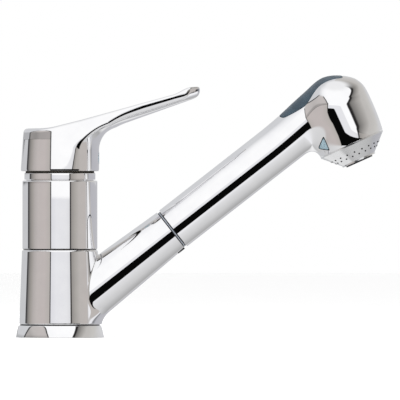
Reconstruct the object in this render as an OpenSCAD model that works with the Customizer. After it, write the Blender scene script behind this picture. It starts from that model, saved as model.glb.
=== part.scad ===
// Single-lever kitchen tap with a pull-out hand spray, in millimetres.
// Origin: centre of the foot on the worktop. +X points along the spout, +Z up.

/* [Foot and column] */
// Radius of the foot ring at the worktop
base_r = 29.4; // [28.5:0.1:34]
// Radius of the foot ring at its top
base_top_r = 27.7; // [27.2:0.1:28.4]
// Height of the foot ring
base_h = 8.1; // [7.6:0.1:10]
// Radial width of the gasket under the foot ring
gasket_w = 2.4; // [1.5:0.1:3]
// Thickness of that gasket
gasket_t = 1.6; // [1:0.1:2.5]
// Radial width of the foot ring at the worktop
foot_w = 5.4; // [5:0.1:6]
// Width of the land outside the gasket
gasket_in = 1.5; // [1:0.1:2]
// Radius of the thread for the mounting shank
shank_thread_r = 16; // [14.5:0.1:17]
// Depth of that thread
shank_thread_l = 7; // [5:0.1:7.4]
// Radius of the journals that the spout turns on
journal_r = 20; // [19.5:0.1:20.5]
// Height of each journal that stands inside the collar
journal_h = 5.4; // [4.8:0.1:7]
// Radius of the column between the journals
column_r = 17; // [16:0.1:18]
// Distance of the column's flat front from the axis
column_face = 1.5; // [0.5:0.1:3]
// Radius of the inlet and outlet ports
port_r = 4.5; // [4:0.1:4.6]
// Depth of the ports above the shank thread
port_l = 9; // [8:0.5:12]
// Distance of the ports from the axis
port_circle_r = 11; // [10.6:0.1:11.2]
// Angle of the hot and cold ports from the spout side
port_angle = 108; // [105:1:112]
// Radius of the water ways
way_r = 2.5; // [2:0.1:2.8]
// Distance of the water ways from the axis
way_circle_r = 8.6; // [8.2:0.1:9]
// Radius of the passage for the hose
hose_hole_r = 8; // [7:0.1:8.4]
// Distance of the hose passage from the axis
hose_hole_x = 7.5; // [7:0.1:7.9]

/* [Spout] */
// Radius of the spout's collar at its foot
collar_r = 27.1; // [26.5:0.1:27.6]
// Radius of the collar at its top
collar_top_r = 25.2; // [25:0.1:26]
// Height of the collar
collar_h = 49.7; // [47:0.1:53]
// Thickness of the slip rings over and under the collar
slip_t = 0.5; // [0.4:0.1:1]
// Radius of the room inside the collar
collar_room_r = 22.3; // [21.5:0.1:22.8]
// Angle of the spout above the horizontal
arm_angle = 38; // [34:1:42]
// Height at which the spout's axis meets the body's axis
arm_root_z = 13.7; // [12:0.1:15]
// Distance along the spout from the body's axis to its mouth
arm_len = 93.7; // [84:0.1:105]
// Outer radius of the hand spray's tube and of the spout's mouth
tube_r = 15; // [14.8:0.1:15.6]
// Outer radius of the spout at the body's axis
arm_root_r = 18.7; // [18:0.1:19.5]
// Radius of the bore in the spout
arm_bore_r = 13; // [12.9:0.1:13.2]
// Wall of the dock bush in the spout's mouth
bush_wall = 1.5; // [1.2:0.1:1.8]
// Length of the dock bush inside the spout
bush_len = 30; // [20:0.5:36]
// Thickness of the dock bush's ring between spout and spray
bush_ring_t = 2; // [1.5:0.1:3]
// Depth of that ring below the tube's surface
bush_ring_in = 0.9; // [0.5:0.1:1.2]
// Length of the dock bush's key tab under the mouth
tab_len = 5.4; // [4:0.1:8]
// Width of the key tab
tab_w = 7; // [5:0.5:10]
// Height by which the key tab stands out of the mouth
tab_out = 0.5; // [0.3:0.1:0.8]

/* [Hand spray] */
// Distance along the spray from its dock ring to the head's centre
spray_len = 135.5; // [125:0.5:145]
// Wall of the spray's shell
shell_wall = 2; // [1.6:0.1:2.4]
// Length of the swelling under the thumb pad
swell_len = 42; // [36:1:48]
// Extra radius of the swelling at the head's centre
swell_r = 2; // [1:0.1:2.5]
// Height of the swelling's centre above the tube's axis
swell_up = 1.9; // [1:0.1:2.5]
// Length of the shank below the dock ring
shank_len = 36; // [26:0.5:42]
// Length of the shank inside the shell
shank_in = 16; // [12:0.5:22]
// Radius of the hose thread in the shank
hose_thread_r = 7; // [6.5:0.1:7.4]
// Length of the hose thread
hose_thread_l = 11; // [8:0.5:12]
// Thickness of the hose washer
washer_t = 1.5; // [1:0.1:2]
// Radius of the water passages
flow_r = 4; // [3.5:0.1:4.2]
// Wall of the water tube
water_tube_wall = 1.3; // [1:0.1:1.6]
// Radius of the check valve's housing
check_r = 8; // [7.8:0.1:8.4]
// Length of the check valve's housing
check_len = 16; // [15:0.5:18]
// Travel of the check valve's poppet
check_travel = 2.5; // [2:0.1:3]

/* [Spray head] */
// Tilt of the head's axis from the vertical
head_tilt = 24.2; // [20:0.1:28]
// Radius of the head at its middle
head_r = 24.1; // [23.8:0.1:24.8]
// Radius of the head's shell at the seam over the spray plate
head_rim_r = 22.7; // [22.4:0.1:23.2]
// Height of the head's crown above the tube's axis
crown_h = 19; // [18:0.1:20]
// Distance along the head's axis to the seam over the spray plate
head_seam = 29.4; // [28:0.1:31]
// Length of the spray plate's cone
plate_len = 12.3; // [11:0.1:14]
// Outer radius of the end ring
plate_tip_r = 11.8; // [11.5:0.1:12.6]
// Height of the end ring
plate_tip_h = 1; // [0.6:0.1:1.6]
// Number of spray holes in each ring
spray_holes = 20; // [16:1:22]
// Radius of the spray holes
spray_hole_r = 0.6; // [0.5:0.05:0.75]
// Place of the first hole ring along the cone
hole_ring_a = 0.48; // [0.4:0.01:0.55]
// Place of the second hole ring along the cone
hole_ring_b = 0.69; // [0.65:0.01:0.75]
// Outer radius of the aerator
aerator_r = 9.4; // [9:0.1:9.8]
// Height by which the aerator stands out of the spray plate
aerator_out = 1; // [0.5:0.1:1.5]
// Length of the aerator
aerator_len = 9; // [8:0.1:10]
// Wall of the aerator's housing
aerator_wall = 1.3; // [1:0.1:1.6]

/* [Thumb pad and side buttons] */
// Length of the thumb pad
pad_len = 50; // [46:0.5:52]
// Half width of the thumb pad
pad_half_w = 13.4; // [12.5:0.1:13.6]
// Radius of the pad's long sides, seen from above
pad_side_r = 66; // [50:1:90]
// Distance from the head's centre back to the middle of the pad, along the tube
pad_back = 9; // [8:0.1:10]
// Height of the pad's rim plane above the tube's axis
pad_up = 11.7; // [11.2:0.1:12.2]
// Slope of the pad against the tube
pad_slope = 6.6; // [5:0.1:8]
// Gap round the pad
pad_gap = 0.5; // [0.45:0.05:0.6]
// Angle through which the pad rocks
rock_angle = 6; // [4:0.5:6.5]
// Radius of the pad's hinge pin
rocker_pin_r = 1.25; // [1:0.05:1.5]
// Distance of the side buttons from the head's centre, along the head's axis
button_down = 22.8; // [22:0.1:23.5]
// Distance of the side buttons from the head's axis, towards the tube
button_in = 16.4; // [16:0.1:17]
// Height of a side button
button_h = 9; // [8:0.1:10]
// Width of a side button
button_w = 7; // [6:0.1:8]
// Travel of the side buttons
button_travel = 2; // [1.5:0.1:2.2]
// Radius of the spindle between the side buttons
spindle_r = 1.6; // [1.3:0.1:1.8]

/* [Upper body] */
// Radius of the upper sleeve
sleeve_r = 25; // [24.8:0.1:25.2]
// Height of the upper sleeve
sleeve_h = 45.6; // [43:0.1:49]
// Wall of the upper sleeve
sleeve_wall = 2.1; // [1.8:0.1:2.2]
// Outer radius of the neck ring
neck_r = 23.7; // [23.2:0.1:23.9]
// Height of the neck ring that shows
neck_h = 5.4; // [5:0.1:7]
// Radius of the opening in the neck ring
neck_hole_r = 13; // [12.5:0.1:14]
// Dark groove between the sleeve and the neck ring
neck_groove = 0.5; // [0.3:0.1:0.8]

/* [Lever] */
// Outer radius of the lever's cap at its rim
cap_r = 26.1; // [25.9:0.1:26.6]
// Radius of the cap at the back of its top
cap_top_r = 24.2; // [23.8:0.1:24.8]
// Height of the cap at its back
cap_h = 28.3; // [27:0.1:30]
// Wall of the cap
cap_wall = 1.5; // [1.3:0.1:1.6]
// Gap between the neck ring and the cap
cap_gap = 0.4; // [0.3:0.1:0.8]
// Distance from the body's axis to the lever's tip
lever_len = 93.3; // [86:0.1:100]
// Slope of the lever's top
lever_slope = 15.5; // [14:0.1:18]
// Thickness of the lever near its tip
lever_tip_t = 6.8; // [6:0.1:8]
// Thickness of the lever at its root
lever_root_t = 11; // [10:0.1:12]
// Width of the lever at its tip
lever_tip_w = 15; // [12:0.5:18]
// Height of the upturned end over the line of the lever's top
lever_lip = 2; // [1:0.1:3]
// Depth of the lever's belly below its side edges
belly_h = 4.2; // [3:0.1:5]
// Radius of the flare between the cap and the lever's underside
flare_r = 17; // [12:0.5:20]
// Height on the cap at which the flare starts
flare_up = 13.9; // [12:0.1:15]
// Radius of the set screw
screw_r = 2.5; // [2:0.1:2.8]
// Length of the set screw
screw_len = 9; // [7:0.5:10]
// Radius of the plug over the set screw
plug_r = 4; // [3.5:0.1:4.4]

/* [Cartridge] */
// Radius of the cartridge
cart_r = 17.4; // [17.2:0.1:17.6]
// Wall of the cartridge housing
cart_wall = 2.5; // [2.2:0.1:2.7]
// Height of the cartridge's seat above the sleeve's lower edge
cart_seat = 13; // [12:0.1:14]
// Thickness of the cartridge's floor
cart_floor_t = 4.5; // [4:0.1:5]
// Thickness of the fixed ceramic disc
fixed_disc_t = 3.5; // [3:0.1:4]
// Thickness of the moving ceramic disc
moving_disc_t = 3.8; // [3.4:0.1:4.2]
// Radius of the moving ceramic disc
moving_disc_r = 11.2; // [11:0.1:11.4]
// Height of the stem's pivot over the middle of its ball
ball_arm = 12; // [11.5:0.1:12.5]
// Radius of the stem's ball
ball_r = 3.4; // [3.2:0.1:3.6]
// Side of the square stem
stem_w = 7; // [6.5:0.1:7.2]
// Length of the stem above its pivot
stem_top = 26; // [24:0.5:27]
// Radius of the stem's pivot pin
stem_pin_r = 1.5; // [1.3:0.1:1.7]
// Forward lean of the stem when the tap is shut
stem_lean = 12; // [11:0.5:13]
// Radius of the turret's neck
turret_r = 10.5; // [10.3:0.1:10.7]
// Outer radius of the cartridge nut's thread
nut_r = 20.4; // [20:0.1:20.8]
// Height of the cartridge nut
nut_h = 9; // [8:0.1:10]

/* [Fits] */
// Radial clearance of a running fit
run = 0.08; // [0.05:0.01:0.1]
// Clearance between seated pieces
seat = 0.05; // [0.03:0.01:0.1]
// Axial play of pieces that turn on each other
play = 0.12; // [0.08:0.01:0.2]
// Clearance between bodies that pass each other
clear = 0.35; // [0.3:0.05:0.5]
// Thickness of an O-ring's cord
oring_t = 1.8; // [1.6:0.1:2]

/* [Hidden] */
$fn = 96;
// Cuts run this far past the faces they open
over = 1;

// Heights and radii up the body
foot_r = base_r - foot_w;
collar_z = base_h + slip_t + play;
collar_top = collar_z + collar_h;
sleeve_z = collar_top + play + slip_t;
sleeve_top = sleeve_z + sleeve_h;
drum_top = sleeve_top - 0.3;
drum_r = sleeve_r - sleeve_wall - seat;
neck_z = sleeve_top + neck_groove;
neck_top = neck_z + neck_h;
neck_plate_t = 2;
neck_seat_r = nut_r + 0.4;
slip_in = 0.6;
cap_z = neck_top + cap_gap;
lower_journal_top = collar_z + journal_h;
upper_journal_z = collar_top - journal_h;
port_z = shank_thread_l + port_l;
seal_heights = [collar_z + journal_h / 2, collar_top - journal_h / 2];
seal_r = journal_r - oring_t / 2 + 0.02;

// Heights in the cartridge
cart_z = sleeve_z + cart_seat;
cart_room_r = cart_r - cart_wall;
fixed_disc_z = cart_z + cart_floor_t;
moving_disc_z = fixed_disc_z + fixed_disc_t + play;
carrier_z = moving_disc_z + moving_disc_t;
carrier_floor = 1.5;
carrier_h = 6.4;
carrier_r = moving_disc_r - 0.3;
pivot_z = carrier_z + carrier_floor + clear + ball_r + ball_arm;
turret_z = carrier_z + carrier_h + clear;
turret_flange_h = 4.5;
housing_neck_z = turret_z + turret_flange_h + play;
housing_top = housing_neck_z + 3;
turret_top = neck_z + 2;
ball_x = -ball_arm * sin(stem_lean);
cart_seal_r = way_r + 0.5 + oring_t / 2;

// Shape of the lever: its top line leaves the cap's flat top at bend_x, its flanks touch
// the cap's cone and run straight to the tip, leaning in as the cone does
cap_top = cap_z + cap_h;
cap_lean = atan((cap_r - cap_top_r) / cap_h);
bend_x = -8.2;
bend_r = 100;
root_x = cap_r + 14;
tip_cone_r = cap_r - (lever_top(lever_len) - cap_z) * tan(cap_lean);
lever_side = asin((tip_cone_r - lever_tip_w / 2) / lever_len);
under_slope = atan((lever_low(lever_len) - lever_low(root_x)) / (lever_len - root_x));

// Upturned end of the lever, as distances back from its tip
lip_foot = 13.3;
lip_middle = 9.3;
lip_crest = 5.3;
lip_end = 1;
tip_face = 2.8;

// Inside of the cap: its roof, the stem's boss, the set screw and the plug over it
cap_roof = 4;
boss_r = 6.8;
boss_low = 15.5;
screw_z = cap_z + 8.6;
stem_front = (screw_z - pivot_z) * tan(stem_lean) + stem_w / 2 / cos(stem_lean);
screw_x = stem_front + screw_r * tan(stem_lean) + seat;
cover_sunk = 2.4;
cover_t = 3;
screw_tube_wall = 1.2;
hex_depth = 2;

// Places along the spout and the spray
arm_start = 8;
arm_bore_start = 14;
bush_r = arm_bore_r - seat;
dock_r = bush_r - bush_wall;
ring_r = tube_r - bush_ring_in;
spray_t = arm_len + bush_ring_t + play;
neck_t = spray_t + spray_len;
shank_t = spray_t - shank_len;
check_t = shank_t + hose_thread_l + 3;
plug_t = check_t + check_len + seat;
plug_len = 8;
shank_top = spray_t + shank_in;
water_tube_r = 3.3 + water_tube_wall;
tube_end = neck_t - 8;
room_r = tube_r - shell_wall;
swell_sunk = 0.6;
end_cord = 1.2;
end_seal_back = 2.4;

// Check valve: floor, bore of the seat, wall, cap and flow holes, its poppet and its spring
check_floor = 3;
check_bore_r = 3;
check_wall = 1.6;
check_cap = 1.5;
check_hole_x = 4.2;
check_hole_r = 1.4;
poppet_r = 4.6;
poppet_t = 1.6;
poppet_stem_r = 1.5;
poppet_z = check_t + check_floor + play;
check_coil_r = 2.4;
check_wire = 0.3;

// Crown of the head: an arc with its centre beyond the axis, flat up to an angle
crown_r = 28.4;
crown_in = 3.9;
crown_flat = 8;

// Places in the head
head_wall_r = head_rim_r - shell_wall;
plate_seam = head_seam + 0.15;
plate_end = plate_seam + plate_len;
mat_z = head_seam - 1.6;
aerator_end = plate_end + aerator_out;
diverter_r = 9;
diverter_up = 8;
socket_l = 5;
socket_wall = 1.6;
outlet_way_r = 2.6;
diverter_flange_r = 12.4;
diverter_flange_z = 20;
plunger_r = 2.2;
piston_r = 4;
plunger_top = -9.2;
plunger_bore_end = 17;
piston_places = [-2, 7];
piston_h = 3.4;
plunger_coil_r = 3.2;
plunger_wire = 0.35;
piston_seal_r = piston_r - end_cord / 2 + 0.02;
coil_seat = piston_places[1] + piston_h;
pad_high = 2 * tube_r;
pad_floor = -1;
pad_skirt = -4.3;
pad_pocket = 0.6;
skirt_wall = 2;
pin_down = 2.9;
lug_r = 2;
lug_w = 8;
ear_l = 6;
ear_w = 1.8;
ear_y = lug_w / 2 + clear;
cradle_top = -pin_down - lug_r - 0.4;
cradle_floor = cradle_top - 1.4;

// Pause spool between the side buttons
sleeve_x = button_in + 0.2;
sleeve_half = 7;
sleeve_tube_r = 3.8;
button_root = 9.5;
button_sunk = 0.3;
spool_r = spindle_r + 1;
spool_y = 3;
spool_h = 3;
pause_seal_r = spool_r - end_cord / 2 + 0.02;

// Cone of the spray plate, the wall under it and the rubber mat
cone_foot = 0.9;
cone_top_r = head_rim_r - 0.2;
cone_len = plate_len - plate_tip_h;
cone_lean = atan((cone_len - cone_foot) / (cone_top_r - plate_tip_r));
plate_wall = 1.4;
mat_t = 1.1;
nozzle_bore_r = 0.3;
nozzle_cut = 8;

// Points of an arc with its centre at c, from angle a to angle b
function arc(c, r, a, b, n = 12) =
  [for (i = [0:n]) let (t = a + (b - a) * i / n) c + r * [cos(t), sin(t)]];

// Frame along the spout at a distance t: Z runs along the spout, X points to its underside
module on_arm(t = 0) {
  translate([0, 0, arm_root_z]) rotate([0, 90 - arm_angle, 0]) translate([0, 0, t]) children();
}

// Frame along the head's axis at a distance w: Z runs to the outlet, X points to the tube
module on_head(w = 0) {
  translate([neck_t * cos(arm_angle), 0, arm_root_z + neck_t * sin(arm_angle)])
    rotate([0, 180 - head_tilt, 0]) translate([0, 0, w]) children();
}

// Frame of the thumb pad: X runs along the pad to the head, Z points out of it
module on_pad() {
  on_arm(neck_t - pad_back) translate([-pad_up, 0, 0]) rotate([0, pad_slope - 90, 0]) children();
}

// Frame of the leaning stem, with its origin at the pivot
module on_stem() {
  translate([0, 0, pivot_z]) rotate([0, stem_lean, 0]) children();
}

// Tube of height h on the XY plane
module pipe(outer, inner, h) {
  difference() {
    cylinder(r = outer, h = h);
    translate([0, 0, -over]) cylinder(r = inner, h = h + 2 * over);
  }
}

// O-ring with its cord's middle at radius r
module oring(r, cord = oring_t) {
  rotate_extrude() translate([r, 0]) circle(d = cord, $fn = 24);
}

// Groove for an O-ring whose cord's middle is at radius r, cut in a shaft
module shaft_groove(r, shaft, cord = oring_t) {
  translate([0, 0, -cord * 0.6])
    pipe(shaft + over, r - cord / 2 - 0.02, cord * 1.2);
}

// Coil spring of n turns between heights 0 and h
module coil(r, wire, h, n, steps = 14) {
  count = n * steps;
  sides = 6;
  points = [for (i = [0:count]) let (a = 360 * i / steps, z = wire + (h - 2 * wire) * i / count)
    for (j = [0:sides - 1]) let (b = 360 * j / sides)
      [(r + wire * cos(b)) * cos(a), (r + wire * cos(b)) * sin(a), z + wire * sin(b)]];
  walls = [for (i = [0:count - 1]) for (j = [0:sides - 1]) let (k = (j + 1) % sides)
    each [[i * sides + j, (i + 1) * sides + j, (i + 1) * sides + k],
          [i * sides + j, (i + 1) * sides + k, i * sides + k]]];
  ends = [[for (j = [0:sides - 1]) j], [for (j = [sides - 1:-1:0]) count * sides + j]];
  polyhedron(points, concat(walls, ends), convexity = 10);
}

// Places of the three ports, on a circle of radius r
module at_ports(r) {
  for (a = [port_angle, -port_angle, 180]) rotate([0, 0, a]) translate([r, 0, 0]) children();
}

module base_flange() color("silver") difference() {
  cylinder(r1 = base_r, r2 = base_top_r, h = base_h);
  translate([0, 0, -over]) cylinder(r = foot_r + seat, h = base_h + 2 * over);
  gasket_room(0);
}

// Ring groove under the foot, shrunk by a gap
module gasket_room(gap) {
  outer = base_r - gasket_in;
  translate([0, 0, gap > 0 ? 0 : -over])
    pipe(outer - gap, outer - gasket_w + gap, gasket_t - gap + (gap > 0 ? 0 : over));
}

module base_gasket() color("black") gasket_room(seat);

module valve_body() color("goldenrod") difference() {
  union() {
    cylinder(r = foot_r, h = base_h);
    cylinder(r = journal_r, h = lower_journal_top);
    intersection() {
      cylinder(r = column_r, h = sleeve_z);
      translate([-column_r, -column_r, 0]) cube([column_r + column_face, 2 * column_r, sleeve_z]);
    }
    translate([0, 0, upper_journal_z]) cylinder(r = journal_r, h = sleeve_z - upper_journal_z);
    translate([0, 0, sleeve_z]) cylinder(r = drum_r, h = drum_top - sleeve_z);
  }
  translate([0, 0, -over]) cylinder(r = shank_thread_r, h = shank_thread_l + over);
  translate([hose_hole_x, 0, 0]) cylinder(r = hose_hole_r, h = lower_journal_top + over);
  at_ports(port_circle_r) cylinder(r = port_r, h = port_z);
  at_ports(way_circle_r) translate([0, 0, port_z - over]) cylinder(r = way_r, h = cart_z);
  translate([0, 0, cart_z]) cylinder(r = cart_r + seat, h = drum_top);
  translate([0, 0, housing_top - seat]) cylinder(r = nut_r + seat, h = drum_top);
  for (z = seal_heights) translate([0, 0, z]) shaft_groove(seal_r, journal_r);
}

module swivel_seals() color("black") for (z = seal_heights) translate([0, 0, z]) oring(seal_r);

module lower_slip_ring() color("dimgray") translate([0, 0, base_h])
  pipe(collar_r - slip_in, journal_r + seat, slip_t);

module upper_slip_ring() color("dimgray") translate([0, 0, sleeve_z - slip_t])
  pipe(sleeve_r - slip_in, journal_r + seat, slip_t);

module upper_sleeve() color("silver") rotate_extrude() polygon(concat(
  [[sleeve_r - sleeve_wall, sleeve_z], [sleeve_r - 0.3, sleeve_z], [sleeve_r, sleeve_z + 0.3]],
  arc([sleeve_r - 1, sleeve_top - 1], 1, 0, 90, 6),
  [[sleeve_r - sleeve_wall, sleeve_top]]));

module neck_ring() color("silver") rotate_extrude() polygon(concat(
  [[neck_seat_r, drum_top], [drum_r - 0.4, drum_top], [drum_r - 0.4, neck_z],
   [neck_r - 0.3, neck_z], [neck_r, neck_z + 0.3]],
  arc([neck_r - 0.8, neck_top - 0.8], 0.8, 0, 90, 6),
  [[neck_hole_r, neck_top], [neck_hole_r, neck_top - neck_plate_t],
   [neck_seat_r, neck_top - neck_plate_t]]));

module cartridge_nut() color("goldenrod") difference() {
  hex_h = neck_top - neck_plate_t - 0.6 - housing_top - nut_h / 2;
  union() {
    translate([0, 0, housing_top]) cylinder(r = nut_r, h = nut_h / 2);
    translate([0, 0, housing_top + nut_h / 2]) cylinder(r = nut_r - 0.4, h = hex_h, $fn = 6);
  }
  translate([0, 0, housing_top - over]) cylinder(r = turret_r + 1.6, h = nut_h + hex_h + over);
}

module cartridge_housing() color("whitesmoke") difference() {
  translate([0, 0, fixed_disc_z]) cylinder(r = cart_r, h = housing_top - fixed_disc_z);
  translate([0, 0, fixed_disc_z - over]) cylinder(r = cart_room_r, h = housing_neck_z - fixed_disc_z + over);
  cylinder(r = turret_r + run, h = housing_top + over);
}

module cartridge_base() color("whitesmoke") difference() {
  translate([0, 0, cart_z]) cylinder(r = cart_r, h = cart_floor_t);
  at_ports(way_circle_r) cylinder(r = way_r, h = fixed_disc_z + over);
  translate([0, 0, cart_z]) at_ports(way_circle_r)
    translate([0, 0, -over]) cylinder(r = cart_seal_r + oring_t / 2 + seat, h = oring_t + over);
}

module cartridge_seals() color("black") translate([0, 0, cart_z + oring_t / 2])
  at_ports(way_circle_r) oring(cart_seal_r);

module fixed_disc() color("ivory") difference() {
  translate([0, 0, fixed_disc_z]) cylinder(r = cart_room_r - seat, h = fixed_disc_t);
  at_ports(way_circle_r) cylinder(r = way_r, h = moving_disc_z);
}

module moving_disc() color("ivory") difference() {
  translate([ball_x, 0, moving_disc_z]) cylinder(r = moving_disc_r, h = moving_disc_t);
  translate([ball_x - 1.5, 0, moving_disc_z - over]) cylinder(r = moving_disc_r - 4.5, h = over + 1.8);
}

module disc_carrier() color("lightgray") difference() {
  translate([ball_x, 0, carrier_z]) cylinder(r = carrier_r, h = carrier_h);
  translate([ball_x, 0, carrier_z + carrier_floor]) cylinder(r = ball_r + clear, h = carrier_h);
}

module cartridge_turret() color("lightgray") difference() {
  union() {
    translate([0, 0, turret_z]) cylinder(r = cart_room_r - run, h = turret_flange_h);
    translate([0, 0, turret_z]) cylinder(r = turret_r, h = turret_top - turret_z);
  }
  slot_len = 2 * (stem_w / 2 + (pivot_z - turret_z) * tan(stem_lean + 2)) + 2 * clear;
  slot_w = stem_w + 2 * clear;
  translate([-slot_len / 2, -slot_w / 2, turret_z - over]) cube([slot_len, slot_w, turret_top]);
  translate([0, 0, pivot_z]) rotate([90, 0, 0])
    cylinder(r = stem_pin_r + seat, h = 2 * turret_r, center = true);
}

module stem_pin() color("gray") translate([0, 0, pivot_z])
  rotate([90, 0, 0]) cylinder(r = stem_pin_r, h = 2 * turret_r - 1.5, center = true);

module cartridge_stem() color("gray") on_stem() difference() {
  foot = ball_arm * 0.55;
  union() {
    translate([-stem_w / 2, -stem_w / 2, -foot]) cube([stem_w, stem_w, foot + stem_top]);
    translate([0, 0, -ball_arm]) cylinder(r = ball_r * 0.75, h = ball_arm);
    translate([0, 0, -ball_arm]) sphere(r = ball_r, $fn = 48);
  }
  rotate([90, 0, 0]) cylinder(r = stem_pin_r + run, h = stem_w + 2 * over, center = true);
}

// Height of the lever's top line at a distance x from the body's axis
function lever_top(x) = cap_top + (x - bend_x) * tan(lever_slope);

// Lowest height of the lever at a distance x: its thickness runs evenly from root to tip
function lever_low(x) = lever_top(x) - lever_root_t
  + (lever_root_t - lever_tip_t) * (x - root_x) / (lever_len - root_x);

// Half width of the lever at a distance x and a height z
function lever_half(x, z) = (cap_r - (z - cap_z) * tan(cap_lean)) / cos(lever_side) - x * tan(lever_side);

// Side view of the cap and lever from above the rim
module lever_profile() {
  tip = lever_top(lever_len);
  rotate([90, 0, 0]) linear_extrude(3 * cap_r, center = true) polygon(concat(
    [[-cap_r - over, cap_z], [-cap_r - over, cap_top - 1], [-cap_top_r - 0.1, cap_top - 1],
     [-cap_top_r + 0.9, cap_top]],
    arc([bend_x - bend_r * tan(lever_slope / 2), cap_top + bend_r], bend_r, -90, -90 + lever_slope, 8),
    [[lever_len - lip_foot, lever_top(lever_len - lip_foot)],
     [lever_len - lip_middle, lever_top(lever_len - lip_middle) + 0.7 * lever_lip],
     [lever_len - lip_crest, lever_top(lever_len - lip_crest) + lever_lip],
     [lever_len - lip_end, tip + 0.4 * lever_lip],
     [lever_len, tip - tip_face], [lever_len - 0.5, lever_low(lever_len)], [lever_len, cap_z]]));
}

// The cap's cone with the flanks that run from it to the tip
module lever_sides() {
  reach = 2 * lever_len;
  high = 3 * cap_h;
  translate([0, 0, cap_z]) cylinder(r1 = cap_r, r2 = cap_r - high * tan(cap_lean), h = high);
  intersection() {
    translate([cap_r * sin(lever_side), -reach / 2, cap_z]) cube([reach, reach, high]);
    flank_side(1);
    flank_side(-1);
  }
}

// Everything inside one leaning flank, which lies just inside the cone where it leaves it
module flank_side(s) {
  reach = 2 * lever_len;
  rotate([0, 0, s * (90 - lever_side)]) translate([cap_r - 0.15, 0, cap_z]) rotate([0, -cap_lean, 0])
    translate([-reach, -reach, -over]) cube([reach, 2 * reach, reach]);
}

// Cross-section of the room over the lever's belly at x, for a hull
module belly_section(x) {
  low = lever_low(x);
  half = lever_half(x, low);
  high = low + 5 * belly_h;
  translate([x, 0, 0]) rotate([90, 0, 90]) linear_extrude(0.1) polygon([
    [-half * 1.1, low + belly_h * 1.175], [-half * 1.1, high], [half * 1.1, high],
    [half * 1.1, low + belly_h * 1.175], [half * 0.6, low + belly_h * 0.3], [0, low],
    [-half * 0.6, low + belly_h * 0.3]]);
}

// The cap, flaring into the underside of the lever
module cap_flare() {
  flare_z = cap_z + flare_up;
  end_r = cap_r + flare_r * (1 - sin(under_slope));
  end_z = flare_z + flare_r * cos(under_slope);
  far = lever_len * 0.7;
  rotate_extrude() polygon(concat(
    [[0, cap_z], [cap_r - 0.6, cap_z], [cap_r, cap_z + 0.6]],
    arc([cap_r + flare_r, flare_z], flare_r, 180, 90 + under_slope, 10),
    [[far, end_z + (far - end_r) * tan(2 * under_slope)], [far, 2 * cap_top], [0, 2 * cap_top]]));
}

module lever_body() {
  intersection() {
    lever_sides();
    lever_profile();
    union() {
      cap_flare();
      hull() {
        belly_section(cap_r * 0.9);
        belly_section(lever_len);
      }
    }
  }
}

// Hollow of the cap, under a roof that runs along its top
module cap_room() intersection() {
  high = 3 * cap_h + over;
  inner = cap_r - cap_wall;
  translate([0, 0, cap_z - over]) cylinder(r1 = inner, r2 = inner - high * tan(cap_lean + 1), h = high);
  translate([0, 0, -cap_roof]) lever_profile();
}

module lever_handle() color("silver") difference() {
  union() {
    difference() {
      lever_body();
      cap_room();
    }
    intersection() {
      translate([0, 0, -cap_roof / 2]) lever_profile();
      on_stem() translate([0, 0, boss_low]) cylinder(r = boss_r, h = 2 * cap_h);
    }
    translate([0, 0, screw_z]) rotate([0, 90, 0]) cylinder(r = plug_r + screw_tube_wall, h = cap_r - 1.2);
  }
  on_stem() translate([-stem_w / 2 - seat, -stem_w / 2 - seat, -over])
    cube([stem_w + 2 * seat, stem_w + 2 * seat, stem_top + over + seat]);
  on_stem() cylinder(r = boss_r + over, h = boss_low);
  translate([0, 0, screw_z]) rotate([0, 90, 0]) cylinder(r = screw_r + seat, h = cap_r + over);
  translate([cap_r - cover_sunk, 0, screw_z]) rotate([0, 90, 0])
    cylinder(r = plug_r + seat, h = cover_t);
}

module handle_screw() color("gray") translate([screw_x, 0, screw_z]) rotate([0, 90, 0]) difference() {
  cylinder(r = screw_r, h = screw_len);
  translate([0, 0, screw_len - hex_depth]) cylinder(r = screw_r * 0.55, h = hex_depth + over, $fn = 6);
}

module index_plug() color("lightgray") intersection() {
  translate([cap_r - cover_sunk + seat, 0, screw_z]) rotate([0, 90, 0])
    cylinder(r = plug_r, h = cover_t);
  translate([0, 0, cap_z]) cylinder(r = cap_r + 0.1, h = cap_h);
}

module spout_body() color("silver") difference() {
  union() {
    translate([0, 0, collar_z]) cylinder(r1 = collar_r, r2 = collar_top_r, h = collar_h);
    on_arm(arm_start) cylinder(r1 = arm_root_r - arm_start * (arm_root_r - tube_r) / arm_len,
      r2 = tube_r, h = arm_len - arm_start);
  }
  translate([0, 0, collar_z - over]) cylinder(r = journal_r + run, h = collar_h + 2 * over);
  translate([0, 0, lower_journal_top]) cylinder(r = collar_room_r, h = upper_journal_z - lower_journal_top);
  on_arm(arm_bore_start) cylinder(r = arm_bore_r, h = arm_len);
  on_arm(arm_len - tab_len) translate([arm_bore_r - over, -tab_w / 2 - seat, -seat])
    cube([tube_r, tab_w + 2 * seat, tab_len + over]);
  translate([0, 0, -arm_len]) cylinder(r = collar_r + over, h = arm_len + collar_z);
}

module dock_bush() color("darkslategray") on_arm(arm_len) difference() {
  union() {
    translate([0, 0, -bush_len]) cylinder(r = bush_r, h = bush_len + bush_ring_t);
    cylinder(r = ring_r, h = bush_ring_t);
    intersection() {
      translate([dock_r, -tab_w / 2, -tab_len]) cube([tube_r, tab_w, tab_len]);
      translate([0, 0, -tab_len]) cylinder(r = tube_r + tab_out, h = tab_len);
    }
  }
  translate([0, 0, -bush_len - over]) cylinder(r = dock_r, h = bush_len + bush_ring_t + 2 * over);
}

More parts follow.
